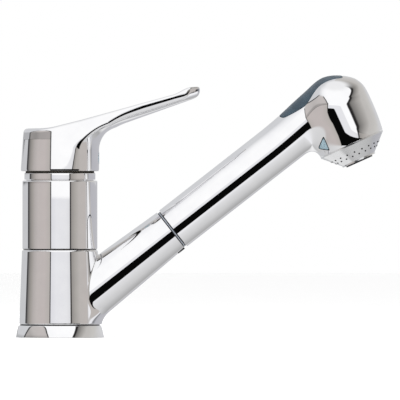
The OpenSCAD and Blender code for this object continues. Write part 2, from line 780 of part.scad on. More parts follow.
// Outside of the hand spray, shrunk evenly by a wall
module spray_form(wall = 0) {
  swell_tilt = atan(swell_up / swell_len);
  on_arm(spray_t + (wall > 0 ? -over : 0))
    cylinder(r = tube_r - wall, h = spray_len + (wall > 0 ? over : 0));
  on_arm(neck_t - swell_len) rotate([0, -swell_tilt, 0])
    cylinder(r1 = tube_r - swell_sunk - wall, r2 = tube_r + swell_r - wall, h = swell_len / cos(swell_tilt));
  on_arm(neck_t) translate([-swell_up, 0, 0]) sphere(r = tube_r + swell_r - wall);
  on_head() rotate_extrude() polygon(head_outline(wall));
}

// Half outline of the head about its axis: an arc over the crown, a barrel and the rim
function head_outline(wall) = let (
    low = crown_r - crown_h, crown = crown_r - wall + 0.5,
    side = asin((head_r - wall + crown_in) / crown))
  concat(
    [[0, wall - crown_h]],
    [for (i = [1:12]) let (a = crown_flat + (side - crown_flat) * i / 12)
      [crown * sin(a) - crown_in, low - crown * cos(a)]],
    [[head_r - 0.1 - wall, 14], [head_r - 0.6 - wall, 24], [head_rim_r - wall, head_seam],
     [head_rim_r - wall, head_seam + (wall > 0 ? over : 0)],
     [0, head_seam + (wall > 0 ? over : 0)]]);

// Leaf-shaped prism of the thumb pad, widened by a gap, between two heights
module leaf(gap, low, high) {
  intersection() {
    translate([0, 0, low]) cylinder(r = pad_len / 2 + gap, h = high - low);
    translate([0, pad_side_r - pad_half_w, low]) cylinder(r = pad_side_r + gap, h = high - low);
    translate([0, pad_half_w - pad_side_r, low]) cylinder(r = pad_side_r + gap, h = high - low);
  }
}

// Triangular prism of the side buttons, widened by a gap, between two values of y
module button_prism(gap, from, to) {
  on_head(button_down) translate([0, to, 0]) rotate([90, 0, 0]) linear_extrude(to - from)
    polygon(rounded_triangle(gap));
}

// Rounded triangle with its upright edge towards the outlet side
function rounded_triangle(gap) = let (x = button_in - 1.2, r = 1 + gap)
  concat(
    arc([x + 1, 1 - button_h / 2], r, 180, 308, 6),
    arc([x + button_w - 1.6, 0.6], r, -52, 58, 6),
    arc([x + 1, button_h / 2 - 1], r, 58, 180, 6));

module spray_shell() color("silver") difference() {
  spray_form();
  spray_form(shell_wall);
  on_pad() leaf(pad_gap, cradle_floor, pad_high);
  button_prism(clear, -40, 40);
}

module spray_shank() color("dimgray") on_arm() difference() {
  union() {
    translate([0, 0, shank_t]) cylinder(r = dock_r - run, h = shank_len + shank_in);
    translate([0, 0, spray_t]) cylinder(r = room_r - seat, h = shank_in);
  }
  translate([0, 0, shank_t - over]) cylinder(r = hose_thread_r, h = hose_thread_l + over);
  translate([0, 0, shank_t]) cylinder(r = flow_r, h = shank_len);
  translate([0, 0, check_t]) cylinder(r = check_r + seat, h = shank_len + shank_in);
}

module hose_washer() color("black") on_arm(shank_t + hose_thread_l - washer_t)
  pipe(hose_thread_r - seat, flow_r, washer_t);

module check_body() color("white") on_arm(check_t) difference() {
  cylinder(r = check_r, h = check_len);
  translate([0, 0, -over]) cylinder(r = check_bore_r, h = check_len);
  translate([0, 0, check_floor]) cylinder(r = check_r - check_wall, h = check_len - check_floor - check_cap);
  translate([0, 0, check_floor]) cylinder(r = poppet_stem_r + run, h = check_len);
  for (a = [45:90:315]) rotate([0, 0, a]) translate([check_hole_x, 0, check_floor])
    cylinder(r = check_hole_r, h = check_len);
}

module check_poppet() color("orange") on_arm(poppet_z) {
  cylinder(r = poppet_r, h = poppet_t);
  cylinder(r = poppet_stem_r, h = check_len - check_floor);
}

module check_spring() color("gray") on_arm(poppet_z + poppet_t + seat)
  coil(check_coil_r, check_wire, check_len - check_floor - poppet_t - check_cap - play - 4 * seat, 5);

module water_tube() color("whitesmoke") on_arm() difference() {
  union() {
    translate([0, 0, plug_t]) cylinder(r = check_r, h = plug_len);
    translate([0, 0, plug_t]) cylinder(r = water_tube_r, h = tube_end - plug_t);
  }
  translate([0, 0, plug_t - over])
    cylinder(r = water_tube_r - water_tube_wall, h = tube_end - plug_t + 2 * over);
  translate([0, 0, plug_t + plug_len / 2]) shaft_groove(check_r - oring_t / 2, check_r);
  translate([0, 0, tube_end - end_seal_back])
    shaft_groove(water_tube_r - end_cord / 2, water_tube_r, end_cord);
}

module tube_seals() color("black") {
  on_arm(plug_t + plug_len / 2) oring(check_r - oring_t / 2);
  on_arm(tube_end - end_seal_back) oring(water_tube_r - end_cord / 2, end_cord);
}

module diverter_body() color("dimgray") difference() {
  union() {
    on_head(-diverter_up) cylinder(r = diverter_r, h = diverter_flange_z + diverter_up + over);
    on_head(diverter_flange_z) cylinder(r = diverter_flange_r, h = mat_z - diverter_flange_z - seat);
    on_arm(tube_end - socket_l) cylinder(r = water_tube_r + socket_wall, h = neck_t - tube_end + socket_l);
  }
  on_arm(tube_end - socket_l - over) cylinder(r = water_tube_r + seat, h = socket_l + over + seat);
  on_arm(tube_end - over) cylinder(r = water_tube_r - water_tube_wall, h = neck_t - tube_end + over);
  on_head(-diverter_up - over) cylinder(r = piston_r + run, h = diverter_up + plunger_bore_end + over);
  on_head(plunger_bore_end - over) cylinder(r = outlet_way_r, h = mat_z - plunger_bore_end + 2 * over);
  on_pad() leaf(pad_gap + shell_wall, cradle_floor - seat, pad_high);
}

module diverter_plunger() color("orange") difference() {
  union() {
    on_head(plunger_top) cylinder(r = plunger_r, h = plunger_bore_end - 4 - plunger_top);
    for (w = piston_places) on_head(w) cylinder(r = piston_r, h = piston_h);
  }
  for (w = piston_places) on_head(w + piston_h / 2) shaft_groove(piston_seal_r, piston_r, end_cord);
  on_pad() translate([-pad_len, -pad_len, pad_floor - clear]) cube([2 * pad_len, 2 * pad_len, pad_len]);
}

module plunger_seals() color("black") for (w = piston_places)
  on_head(w + piston_h / 2) oring(piston_seal_r, end_cord);

module plunger_spring() color("gray") on_head(coil_seat + seat)
  coil(plunger_coil_r, plunger_wire, plunger_bore_end - coil_seat - 2 * seat, 3);

module selector_cradle() color("dimgray") difference() {
  on_pad() cradle_form();
  on_head(plunger_top) cylinder(r = plunger_r + clear + 0.1, h = pad_len / 2);
}

// The cradle's floor and its two ears
module cradle_form() difference() {
  union() {
    leaf(pad_gap - seat, cradle_floor, cradle_top);
    for (y = [ear_y, -ear_y - ear_w]) translate([-ear_l / 2, y, cradle_floor])
      cube([ear_l, ear_w, rocker_pin_r + 0.8 - pin_down - cradle_floor]);
  }
  translate([0, 0, -pin_down]) rotate([90, 0, 0])
    cylinder(r = rocker_pin_r + seat, h = 3 * lug_w, center = true);
}

module rocker_pin() color("gray") on_pad() translate([0, 0, -pin_down])
  rotate([90, 0, 0]) cylinder(r = rocker_pin_r, h = 2 * (ear_y + ear_w) - 0.2, center = true);

module selector_rocker() color("darkslategray") difference() {
  union() {
    difference() {
      intersection() {
        spray_form();
        on_pad() leaf(0, pad_skirt, pad_high);
      }
      on_pad() leaf(-skirt_wall, pad_skirt - over, pad_floor);
      on_pad() translate([-ear_l / 2 - 1, -ear_y - ear_w - 1, pad_skirt])
        cube([ear_l + 2, 2 * (ear_y + ear_w + 1), pad_pocket - pad_skirt]);
      on_pad() translate([0, -pad_len, pad_skirt]) rotate([0, -rock_angle, 0])
        translate([0, 0, -pad_len]) cube([pad_len, 2 * pad_len, pad_len]);
    }
    on_pad() translate([0, 0, -pin_down]) rotate([90, 0, 0]) cylinder(r = lug_r, h = lug_w, center = true);
    on_pad() translate([-lug_r, -lug_w / 2, -pin_down])
      cube([2 * lug_r, lug_w, pin_down + pad_pocket + over]);
  }
  on_pad() translate([0, 0, -pin_down]) rotate([90, 0, 0])
    cylinder(r = rocker_pin_r + run, h = 2 * lug_w, center = true);
}

module pause_sleeve() color("dimgray") on_head(button_down) translate([sleeve_x, 0, 0])
  rotate([90, 0, 0]) difference() {
    cylinder(r = sleeve_tube_r, h = 2 * sleeve_half, center = true);
    cylinder(r = spool_r + run, h = 3 * sleeve_half, center = true);
  }

module pause_spindle() color("gray") on_head(button_down) translate([sleeve_x, 0, 0])
  rotate([90, 0, 0]) difference() {
    union() {
      cylinder(r = spindle_r, h = 2 * button_root, center = true);
      for (s = [-1, 1]) translate([0, 0, s * spool_y]) cylinder(r = spool_r, h = spool_h, center = true);
    }
    for (s = [-1, 1]) translate([0, 0, s * spool_y]) shaft_groove(pause_seal_r, spool_r, end_cord);
  }

module pause_seals() color("black") on_head(button_down) translate([sleeve_x, 0, 0])
  rotate([90, 0, 0]) for (s = [-1, 1]) translate([0, 0, s * spool_y]) oring(pause_seal_r, end_cord);

module pause_buttons() color("slategray") {
  intersection() {
    spray_form(button_sunk);
    button_prism(0, -40, -button_root);
  }
  intersection() {
    translate([0, button_travel, 0]) spray_form(button_sunk);
    button_prism(0, button_root, 40);
  }
}

// Radius and height on the outside of the spray plate's cone, from 0 at the seam to 1 at the tip
function cone_r(k) = cone_top_r + (plate_tip_r - cone_top_r) * k;
function cone_z(k) = plate_seam + cone_foot + (cone_len - cone_foot) * k;

// Places of the spray holes, with Z pointing out of the cone
module at_holes() {
  for (i = [0:spray_holes - 1]) for (ring = [[hole_ring_a, 0.15], [hole_ring_b, 0.65]])
    rotate([0, 0, 90 + 360 * (i + ring[1]) / spray_holes]) translate([cone_r(ring[0]), 0, cone_z(ring[0])])
      rotate([0, 90 - cone_lean, 0]) children();
}

// Radius and height of a point under the cone's skin, at a depth below its outside
function cone_in(k, depth) =
  [cone_r(k) - depth * sin(90 - cone_lean), cone_z(k) - depth * cos(90 - cone_lean)];

module nozzle_plate() color("lightgray") on_head() difference() {
  rotate_extrude() polygon([
    [head_wall_r - seat, mat_z], [head_wall_r - seat, plate_seam], [head_rim_r - 0.1, plate_seam],
    [cone_r(0), cone_z(0)], [plate_tip_r, plate_end - plate_tip_h], [plate_tip_r, plate_end],
    [aerator_r + seat, plate_end], [aerator_r + seat, plate_end - 3],
    cone_in(0.93, plate_wall), cone_in(0.08, plate_wall),
    [head_wall_r - seat - plate_wall, cone_in(0.08, plate_wall)[1]],
    [head_wall_r - seat - plate_wall, mat_z]]);
  at_holes() cylinder(r = spray_hole_r, h = nozzle_cut, center = true);
}

module nozzle_mat() color("dimgray") on_head() {
  difference() {
    rotate_extrude() polygon([
      cone_in(0.1, plate_wall + seat), cone_in(0.85, plate_wall + seat),
      cone_in(0.85, plate_wall + seat + mat_t), cone_in(0.12, plate_wall + seat + mat_t),
      [aerator_r - 1, mat_z + 1.4], [aerator_r - 1, mat_z],
      [head_wall_r - seat - plate_wall - seat, mat_z],
      [head_wall_r - seat - plate_wall - seat, cone_in(0.1, plate_wall + seat)[1]]]);
    at_holes() translate([0, 0, 2 - nozzle_cut]) cylinder(r = nozzle_bore_r, h = nozzle_cut, $fn = 16);
  }
  difference() {
    at_holes() translate([0, 0, -plate_wall - 0.5]) cylinder(r = spray_hole_r - seat, h = plate_wall + 0.7);
    at_holes() translate([0, 0, 2 - nozzle_cut]) cylinder(r = nozzle_bore_r, h = nozzle_cut, $fn = 16);
  }
}

module aerator_housing() color("black") on_head(aerator_end - aerator_len) difference() {
  cylinder(r = aerator_r, h = aerator_len);
  translate([0, 0, -over]) cylinder(r = aerator_r - aerator_wall, h = aerator_len + 2 * over);
}

module aerator_core() color("gray") on_head(aerator_end - aerator_len + 1) difference() {
  room = aerator_r - aerator_wall - seat;
  pitch = 2;
  hole = 1.4;
  cylinder(r = room, h = aerator_len - 2);
  translate([0, 0, -over]) cylinder(r = room - 1.5, h = aerator_len - 4);
  for (i = [-3:3]) for (j = [-3:3]) if (norm([i, j]) * pitch < room - 1.2)
    translate([i * pitch - hole / 2, j * pitch - hole / 2, 0]) cube([hole, hole, aerator_len]);
}

module aerator_washer() color("black") on_head(aerator_end - aerator_len)
  pipe(aerator_r - aerator_wall - seat, aerator_r - aerator_wall - 3, 1);

base_flange();
base_gasket();
valve_body();
lower_slip_ring();
upper_slip_ring();
swivel_seals();
upper_sleeve();
neck_ring();
cartridge_nut();
cartridge_housing();
cartridge_base();
cartridge_seals();
fixed_disc();
cartridge_turret();
stem_pin();
moving_disc();
disc_carrier();
cartridge_stem();
lever_handle();
handle_screw();
index_plug();
spout_body();
dock_bush();
spray_shell();
spray_shank();
hose_washer();
check_body();
check_poppet();
check_spring();
water_tube();
tube_seals();
diverter_body();
diverter_plunger();
plunger_seals();
plunger_spring();
selector_cradle();
rocker_pin();
selector_rocker();
pause_sleeve();
pause_spindle();
pause_seals();
pause_buttons();
nozzle_plate();
nozzle_mat();
aerator_housing();
aerator_core();
aerator_washer();
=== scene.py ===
"""Looks of a pull-out kitchen faucet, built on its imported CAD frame."""

import math

import bpy
import numpy as np
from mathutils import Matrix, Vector


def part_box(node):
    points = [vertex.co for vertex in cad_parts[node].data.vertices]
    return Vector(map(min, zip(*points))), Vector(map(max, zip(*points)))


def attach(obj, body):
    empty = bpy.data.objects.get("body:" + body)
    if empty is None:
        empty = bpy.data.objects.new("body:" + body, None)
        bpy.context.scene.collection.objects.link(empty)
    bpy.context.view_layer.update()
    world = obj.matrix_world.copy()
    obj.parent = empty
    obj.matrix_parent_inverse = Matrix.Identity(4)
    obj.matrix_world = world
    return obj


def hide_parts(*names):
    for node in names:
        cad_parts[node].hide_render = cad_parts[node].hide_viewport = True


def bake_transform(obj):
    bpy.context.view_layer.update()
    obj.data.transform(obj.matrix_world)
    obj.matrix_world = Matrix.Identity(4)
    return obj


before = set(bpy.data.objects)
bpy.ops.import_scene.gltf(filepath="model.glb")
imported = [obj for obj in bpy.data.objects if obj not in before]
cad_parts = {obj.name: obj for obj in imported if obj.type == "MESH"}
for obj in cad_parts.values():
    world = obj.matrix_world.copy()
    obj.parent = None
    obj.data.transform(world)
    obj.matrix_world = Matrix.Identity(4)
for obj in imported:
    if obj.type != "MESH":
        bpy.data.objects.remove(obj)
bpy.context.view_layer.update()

# Millimetres in a metre; shapes are in millimetres and the scene is in metres
MM = 1000
SIDE = np.array([0.0, 1.0, 0.0])

# Axis of the spout and of the spray's tube, from the foot's centre
ARM_ANGLE = math.radians(38)
ARM = np.array([math.cos(ARM_ANGLE), 0, math.sin(ARM_ANGLE)])
ARM_UP = np.array([-math.sin(ARM_ANGLE), 0, math.cos(ARM_ANGLE)])
ARM_ROOT = np.array([0, 0, 13.7])

# Distances along that axis: the spout's mouth, the spray's lower end and the head's centre
MOUTH_T = 93.7
SPRAY_T = 95.82
HEAD_T = 231.32

# Axis of the spray's head, which the water follows, and the head's outward direction
HEAD_TILT = math.radians(24.2)
HEAD_AXIS = np.array([math.sin(HEAD_TILT), 0, -math.cos(HEAD_TILT)])
HEAD_OUT = np.array([math.cos(HEAD_TILT), 0, math.sin(HEAD_TILT)])
HEAD_AT = ARM_ROOT + HEAD_T * ARM

# Plane of the thumb pad's rim
PAD_SLOPE = math.radians(6.6)
PAD_BACK = 9
PAD_OVER = 11.7
PAD_AT = ARM_ROOT + (HEAD_T - PAD_BACK) * ARM + PAD_OVER * ARM_UP
PAD_X = math.cos(PAD_SLOPE) * ARM - math.sin(PAD_SLOPE) * ARM_UP
PAD_Z = math.sin(PAD_SLOPE) * ARM + math.cos(PAD_SLOPE) * ARM_UP


# Fields: each gives a signed distance in millimetres, negative inside


def along(p, origin, *axes):
    """Coordinates of the points p on the given axes."""
    d = p - origin
    return [d @ a for a in axes]


def axial(p):
    """Distance from the body's upright axis."""
    return np.sqrt(p[:, 0] ** 2 + p[:, 1] ** 2)


def share(x, start, length):
    """0 up to start, then straight up to 1 over length."""
    return np.clip((x - start) / length, 0, 1)


def eased(f):
    """Share with a soft start and a soft end."""
    return f * f * (3 - 2 * f)


def smin(a, b, k):
    """Smooth union of two fields."""
    h = np.clip(0.5 + 0.5 * (b - a) / k, 0, 1)
    return b * (1 - h) + a * h - k * h * (1 - h)


def smax(a, b, k):
    """Smooth intersection of two fields."""
    return -smin(-a, -b, k)


def either(a, b):
    """Sharp union of two (value, face number) pairs."""
    return np.minimum(a[0], b[0]), np.where(a[0] <= b[0], a[1], b[1])


def both(a, b):
    """Sharp intersection of two (value, face number) pairs."""
    return np.maximum(a[0], b[0]), np.where(a[0] >= b[0], a[1], b[1])


def without(a, b):
    """The first pair with the second cut out of it."""
    return both(a, (-b[0], b[1]))


def numbered(faces, p):
    """The (value, face number) pair of each face at the points p."""
    return [(face(p), i) for i, face in enumerate(faces)]


def gradient(field, p, e=0.02):
    """Numeric gradient of a field at the points p."""
    g = np.empty_like(p)
    for i in range(3):
        step = np.zeros(3)
        step[i] = e
        g[:, i] = (field(p + step) - field(p - step)) / (2 * e)
    return g


# Meshes of fields

# Rounds of settling the points, steps in each round, and the longest step as a share of the grid's
ROUNDS = 4
STEPS = 3
REACH = 0.6


def link_object(name, data):
    """New object in the scene."""
    made = bpy.data.objects.new(name, data)
    bpy.context.scene.collection.objects.link(made)
    return made


def net_points(values, h):
    """One point in each cell that the surface crosses, and the number of each cell's point."""
    inside = values < 0
    cells = np.array(values.shape) - 1
    total = np.zeros(tuple(cells) + (3,))
    count = np.zeros(tuple(cells))

    def shifted(a, q):
        return a[q[0]:q[0] + cells[0], q[1]:q[1] + cells[1], q[2]:q[2] + cells[2]]

    corners = [(i, j, k) for i in (0, 1) for j in (0, 1) for k in (0, 1)]
    for axis in range(3):
        for c in corners:
            if c[axis]:
                continue
            d = list(c)
            d[axis] = 1
            va = shifted(values, c)
            vb = shifted(values, d)
            hit = shifted(inside, c) != shifted(inside, d)
            t = np.where(hit, va / np.where(hit, va - vb, 1), 0)
            for i in range(3):
                total[..., i] += np.where(hit, (t if i == axis else c[i]), 0)
            count += hit
    used = count > 0
    number = -np.ones(tuple(cells), dtype=np.int64)
    number[used] = np.arange(used.sum())
    points = (np.argwhere(used) + total[used] / count[used][:, None]) * h
    return points, number


def net_quads(inside, number):
    """Quads between the points of the cells round each grid edge that the surface crosses."""
    quads = []
    for axis in range(3):
        a, b = [i for i in range(3) if i != axis]
        near = [slice(1, -1)] * 3
        near[axis] = slice(0, -1)
        far = list(near)
        far[axis] = slice(1, None)
        first = inside[tuple(near)]
        hits = np.argwhere(first != inside[tuple(far)])
        low = hits.copy()
        low[:, [a, b]] += 1
        flip = first[tuple(hits.T)]
        ring = []
        for da, db in ((1, 1), (0, 1), (0, 0), (1, 0)):
            q = low.copy()
            q[:, a] -= da
            q[:, b] -= db
            ring.append(number[tuple(q.T)])
        ring = np.stack(ring, axis=1)
        turn = flip if axis != 1 else ~flip
        ring[~turn] = ring[~turn][:, ::-1]
        quads.append(ring)
    return np.concatenate(quads)


def settle(points, quads, tree, faces, longest):
    """Moves each point on to the faces that meet at it, so that edges between faces come out sharp."""
    kind = tree(points[quads].mean(axis=1))[1]
    touch = np.zeros((len(points), len(faces)), dtype=bool)
    for i in range(4):
        touch[quads[:, i], kind] = True
    for _ in range(STEPS):
        g = np.stack([f(points) for f in faces], axis=1)
        lack = np.where(touch, g, 0)
        jac = np.zeros((len(points), len(faces), 3))
        for i, f in enumerate(faces):
            near = touch[:, i]
            if near.any():
                jac[near, i] = gradient(f, points[near])
        square = np.einsum("pik,pjk->pij", jac, jac) + 1e-3 * np.eye(len(faces))
        move = np.einsum("pik,pi->pk", jac, np.linalg.solve(square, lack[..., None])[..., 0])
        size = np.linalg.norm(move, axis=1, keepdims=True)
        points = points - move * np.minimum(1, longest / np.maximum(size, 1e-9))
    return points


def corner_normals(points, quads, kind, faces):
    """Normals of each quad's corners, from the field of its face."""
    normals = np.zeros(quads.shape + (3,))
    first = points[quads[:, 2]] - points[quads[:, 0]]
    second = points[quads[:, 3]] - points[quads[:, 1]]
    flat = np.cross(first, second)
    for i, f in enumerate(faces):
        mine = kind == i
        if mine.any():
            way = gradient(f, points[quads[mine]].reshape(-1, 3)).reshape(-1, 4, 3)
            way /= np.maximum(np.linalg.norm(way, axis=2, keepdims=True), 1e-9)
            side = np.sign(np.einsum("qk,qk->q", way.sum(axis=1), flat[mine]))
            normals[mine] = way * np.where(side < 0, -1, 1)[:, None, None]
    return normals


def solid(name, tree, faces, low, high, h, origin=(0, 0, 0), basis=None, shaded_faces=()):
    """Mesh of a field between two corners of a box, on a grid of step h, with the listed faces in dark
    painted shade.
    """
    origin = np.array(origin)
    basis = np.eye(3) if basis is None else np.array(basis)
    low = np.array(low, float)
    n = np.ceil((np.array(high, float) - low) / h).astype(int) + 1
    axes = [low[i] + h * np.arange(n[i]) for i in range(3)]
    grid = np.stack(np.meshgrid(*axes, indexing="ij"), axis=-1).reshape(-1, 3)
    values = tree(origin + grid @ basis)[0].reshape(n)
    points, number = net_points(values, h)
    points = origin + low @ basis + points @ basis
    quads = net_quads(values < 0, number)
    for _ in range(ROUNDS):
        points = settle(points, quads, tree, faces, REACH * h)
    kind = tree(points[quads].mean(axis=1))[1]
    normals = corner_normals(points, quads, kind, faces)
    mesh = bpy.data.meshes.new(name)
    mesh.from_pydata((points / MM).tolist(), [], quads.tolist())
    mesh.polygons.foreach_set("use_smooth", np.ones(len(quads), dtype=bool))
    mesh.polygons.foreach_set("material_index", np.isin(kind, shaded_faces).astype(int))
    mesh.normals_split_custom_set(normals.reshape(-1, 3).tolist())
    mesh.update()
    return link_object(name, mesh)


# Least angle between two faces of a turned piece that meet in a sharp edge
SHARP = math.radians(28)


def lathe(name, profile, shaded_faces=()):
    """Turned piece from (radius, height) points, with the named edges of its profile in dark painted shade.
    """
    steps = 256
    ring = [(math.cos(2 * math.pi * i / steps), math.sin(2 * math.pi * i / steps)) for i in range(steps)]
    verts = [(r * c / MM, r * s / MM, z / MM) for r, z in profile for c, s in ring]
    n = len(profile)
    quads = [(j * steps + i, j * steps + (i + 1) % steps,
              (j + 1) % n * steps + (i + 1) % steps, (j + 1) % n * steps + i)
             for j in range(n) for i in range(steps)]
    mesh = bpy.data.meshes.new(name)
    mesh.from_pydata(verts, [], quads)
    mesh.polygons.foreach_set("use_smooth", [True] * len(quads))
    mesh.polygons.foreach_set("material_index", [int(i // steps in shaded_faces) for i in range(len(quads))])
    mesh.set_sharp_from_angle(angle=SHARP)
    mesh.update()
    return link_object(name, mesh)


def corner(x, z, r, start):
    """Points of a profile's rounded corner with its centre at (x, z), from an angle up to 90 degrees."""
    steps = 5
    angles = [math.radians(start + (90 - start) * i / steps) for i in range(steps + 1)]
    return [(x + r * math.cos(a), z + r * math.sin(a)) for a in angles]


# Tube of the hand spray: its radius, and its swelling under the pad from start over length
TUBE_R = 15
SWELL_START = -54
SWELL_LENGTH = 48
SWELL_R = 14.4
SWELL_MORE = 2.0
SWELL_UP = 1.3
SWELL_BLEND = 1.5


def tube_form(p):
    """Tube of the hand spray with a round end in the head."""
    u, y, n = along(p, HEAD_AT, ARM, SIDE, ARM_UP)
    ahead = np.maximum(u, 0)
    grown = eased(share(u, SWELL_START, SWELL_LENGTH))
    tube = np.sqrt(ahead**2 + y**2 + n**2) - TUBE_R
    swell = np.sqrt(ahead**2 + y**2 + (n - SWELL_UP * grown) ** 2) - (SWELL_R + SWELL_MORE * grown)
    return smin(tube, swell, SWELL_BLEND)


# Head of the hand spray: its barrel, its crown, and how the barrel draws in towards the nozzle plate
HEAD_R = 24.1
CROWN_R = 24
CROWN_LOW = 7
CROWN_TIP = 2
CROWN_INSET = 0.1
CROWN_BULGE = 2.1
CROWN_SIDE = 3.3
CROWN_SIDE_R = 14
CROWN_SUNK = 0.8
CROWN_END = 2.0
CROWN_END_R = 20
DRAW_END = (1.4, 6, 23.4, 2.5)
DRAW_SIDE = (1.3, 21, 8.4, 2)
CROWN_EDGE = 2


def draw_in(w, part, amount, start, length, power):
    """How far the barrel draws in at w along the head's axis, on the given part of its round."""
    return part * amount * np.clip((w - start) / length, 0, None) ** power


def head_form(p):
    """Head of the hand spray, whose ends towards and away from the body differ from its sides."""
    r, y, w = along(p, HEAD_AT, HEAD_OUT, SIDE, HEAD_AXIS)
    rho = np.sqrt(r**2 + y**2 + CROWN_TIP**2) - CROWN_INSET
    endways = r**2 / (r**2 + y**2 + 1)
    sideways = (1 - endways) * np.clip(rho / CROWN_SIDE_R, 0, 1) ** 2
    bulge = CROWN_BULGE - CROWN_SIDE * sideways
    height = np.minimum(w - CROWN_LOW + CROWN_SIDE * sideways, 0)
    crown = np.sqrt((rho + bulge) ** 2 + height**2) - CROWN_R - bulge
    crown = crown + CROWN_SUNK - CROWN_END * endways * share(r, 0, CROWN_END_R) ** 2
    drawn = draw_in(w, endways, *DRAW_END) + draw_in(w, 1 - endways, *DRAW_SIDE)
    return smax(crown, rho - HEAD_R + drawn, CROWN_EDGE)


# Blend of the tube into the head: its size at the axis, its change and the height of that change
NECK_BLEND = 5.75
NECK_CHANGE = 3.25
NECK_OVER = 8


def spray_form(p):
    """Outside of the hand spray: the tube, its swelling under the pad, and the head."""
    n = along(p, HEAD_AT, ARM_UP)[0]
    return smin(tube_form(p), head_form(p), NECK_BLEND - NECK_CHANGE * np.tanh(n / NECK_OVER))


# Thumb pad: two long arcs and two round ends, its gap and its depth in the shell
LEAF_R = 66
LEAF_OFF = 52.6
LEAF_END_R = 25
LEAF_CORNER = 1.5
PAD_GAP = 0.5
PAD_WELL = 6
PAD_FLOOR = 4.3
PAD_FLOOR_SLOPE = 0.105
PAD_SUNK = 0.02
PAD_EDGE = 0.9


def leaf(p, gap=0.0):
    """Leaf-shaped prism of the thumb pad."""
    x, y = along(p, PAD_AT, PAD_X, SIDE)
    arcs = np.sqrt(x**2 + (np.abs(y) + LEAF_OFF) ** 2) - LEAF_R
    ends = np.sqrt(x**2 + y**2) - LEAF_END_R
    return smax(arcs, ends, LEAF_CORNER) - gap


def pad_height(p):
    """Height over the pad's rim plane."""
    return along(p, PAD_AT, PAD_Z)[0]


# Side buttons: corners out and down from the head's centre, rounding, gap, pocket and travel
BUTTON_CORNERS = [(-16.2, 19.3), (-16.2, 26.3), (-20.6, 23.4)]
BUTTON_ROUND = 1.2
BUTTON_MORE = 0.6
BUTTON_GAP = 0.35
BUTTON_WELL = 2.6
BUTTON_SUNK = 0.35
BUTTON_EDGE = 0.5
BUTTON_FOOT = 9.5
BUTTON_OUT = np.array([0.0, 2.0, 0.0])


def triangle(p, gap=0.0):
    """Rounded triangular prism of the side buttons."""
    r, w = along(p, HEAD_AT, HEAD_OUT, HEAD_AXIS)
    d = None
    for (ax, ay), (bx, by) in zip(BUTTON_CORNERS, BUTTON_CORNERS[1:] + BUTTON_CORNERS[:1]):
        ex = bx - ax
        ey = by - ay
        edge = ((r - ax) * ey - (w - ay) * ex) / math.hypot(ex, ey)
        d = edge if d is None else smax(d, edge, BUTTON_ROUND)
    return d - BUTTON_MORE - gap


# Shell of the hand spray: where the nozzle plate's seam cuts it, and how far under the tube's axis
SEAM_W = 29.4
SEAM_UNDER = 17


def arm_t(p):
    """Distance along the spout's axis."""
    return along(p, ARM_ROOT, ARM)[0]


shell_faces = [
    spray_form,
    lambda p: SPRAY_T - arm_t(p),
    lambda p: along(p, HEAD_AT, HEAD_AXIS)[0] - SEAM_W,
    lambda p: -SEAM_UNDER - along(p, HEAD_AT, ARM_UP)[0],
    lambda p: leaf(p, PAD_GAP),
    lambda p: -PAD_WELL - pad_height(p),
    lambda p: triangle(p, BUTTON_GAP),
    lambda p: -BUTTON_WELL - spray_form(p),
]


def shell_tree(p):
    """The shell: its skin with the tube's end, the head's seam, the pad's well and the buttons' pockets."""
    skin, end, seam, under, well, well_floor, pocket, pocket_floor = numbered(shell_faces, p)
    whole = both(both(skin, end), either(seam, under))
    return without(without(whole, both(well, well_floor)), both(pocket, pocket_floor))


pad_faces = [
    lambda p: smax(spray_form(p) + PAD_SUNK, leaf(p), PAD_EDGE),
    lambda p: -PAD_FLOOR - pad_height(p),
    lambda p: -PAD_FLOOR + PAD_FLOOR_SLOPE * along(p, PAD_AT, PAD_X)[0] - pad_height(p),
]


def pad_tree(p):
    """The thumb pad, whose floor slopes up to let it rock."""
    skin, floor_face, slope = numbered(pad_faces, p)
    return both(skin, both(floor_face, slope))


def button_skin(p):
    """Ends of both buttons; the far one stands out further, because the pair slides."""
    form = np.where(p[:, 1] < 0, spray_form(p), spray_form(p - BUTTON_OUT))
    return smax(form + BUTTON_SUNK, triangle(p), BUTTON_EDGE)


button_faces = [button_skin, lambda p: BUTTON_FOOT - np.abs(p[:, 1])]


def button_tree(p):
    """The two ends of the pause button."""
    skin, foot_face = numbered(button_faces, p)
    return both(skin, foot_face)


# Lever's cap: its rim and top, how far it draws in between them, its waist, and the rim's own height
CAP_Z = 110.94
CAP_R = 26.1
CAP_TOP = 139.24
CAP_DRAW = 1.9
CAP_LEAN = math.atan(CAP_DRAW / (CAP_TOP - CAP_Z))
WAIST_Z = 132.2
WAIST = 0.03
RIM_H = 1.1

# Lever: its length, half its width at the tip, the height of that width over the rim, and its rise
LEVER_L = 93.3
TIP_HALF = 7.5
TIP_OVER = 56.45
LEVER_SIDE = math.asin((CAP_R - TIP_OVER * math.tan(CAP_LEAN) - TIP_HALF) / LEVER_L)
RISE = math.tan(math.radians(15.5))

# Lever's top line: its bend, its sunk middle, and the lip at the tip with its fall
BEND_X = -13.7
BEND_LENGTH = 12
SINK = 0.6
SINK_X = -10
SINK_LENGTH = 25
LIP_X = 75.5
LIP_LENGTH = 10
LIP_H = 1.9
LIP_END_X = 87
LIP_FALL = 0.2

# Lever's lowest line: its place under the top line, and how the lever thins towards the tip
LOW_X = -8.2
LOW_DROP = 11
THIN = 4.2
THIN_X = 40.1
THIN_LENGTH = LEVER_L - THIN_X

# Flare between cap and lever: an arc, the straight line that follows it, and how much fuller it is behind
FLARE_X = 43.1
FLARE_Z = 124.84
FLARE_R = 17
FLARE_SLOPE = 0.8156
FLARE_END_X = 37.4
FLARE_END_Z = 140.85
FLARE_BACK = 0.6
FLARE_BACK_FADE = 12

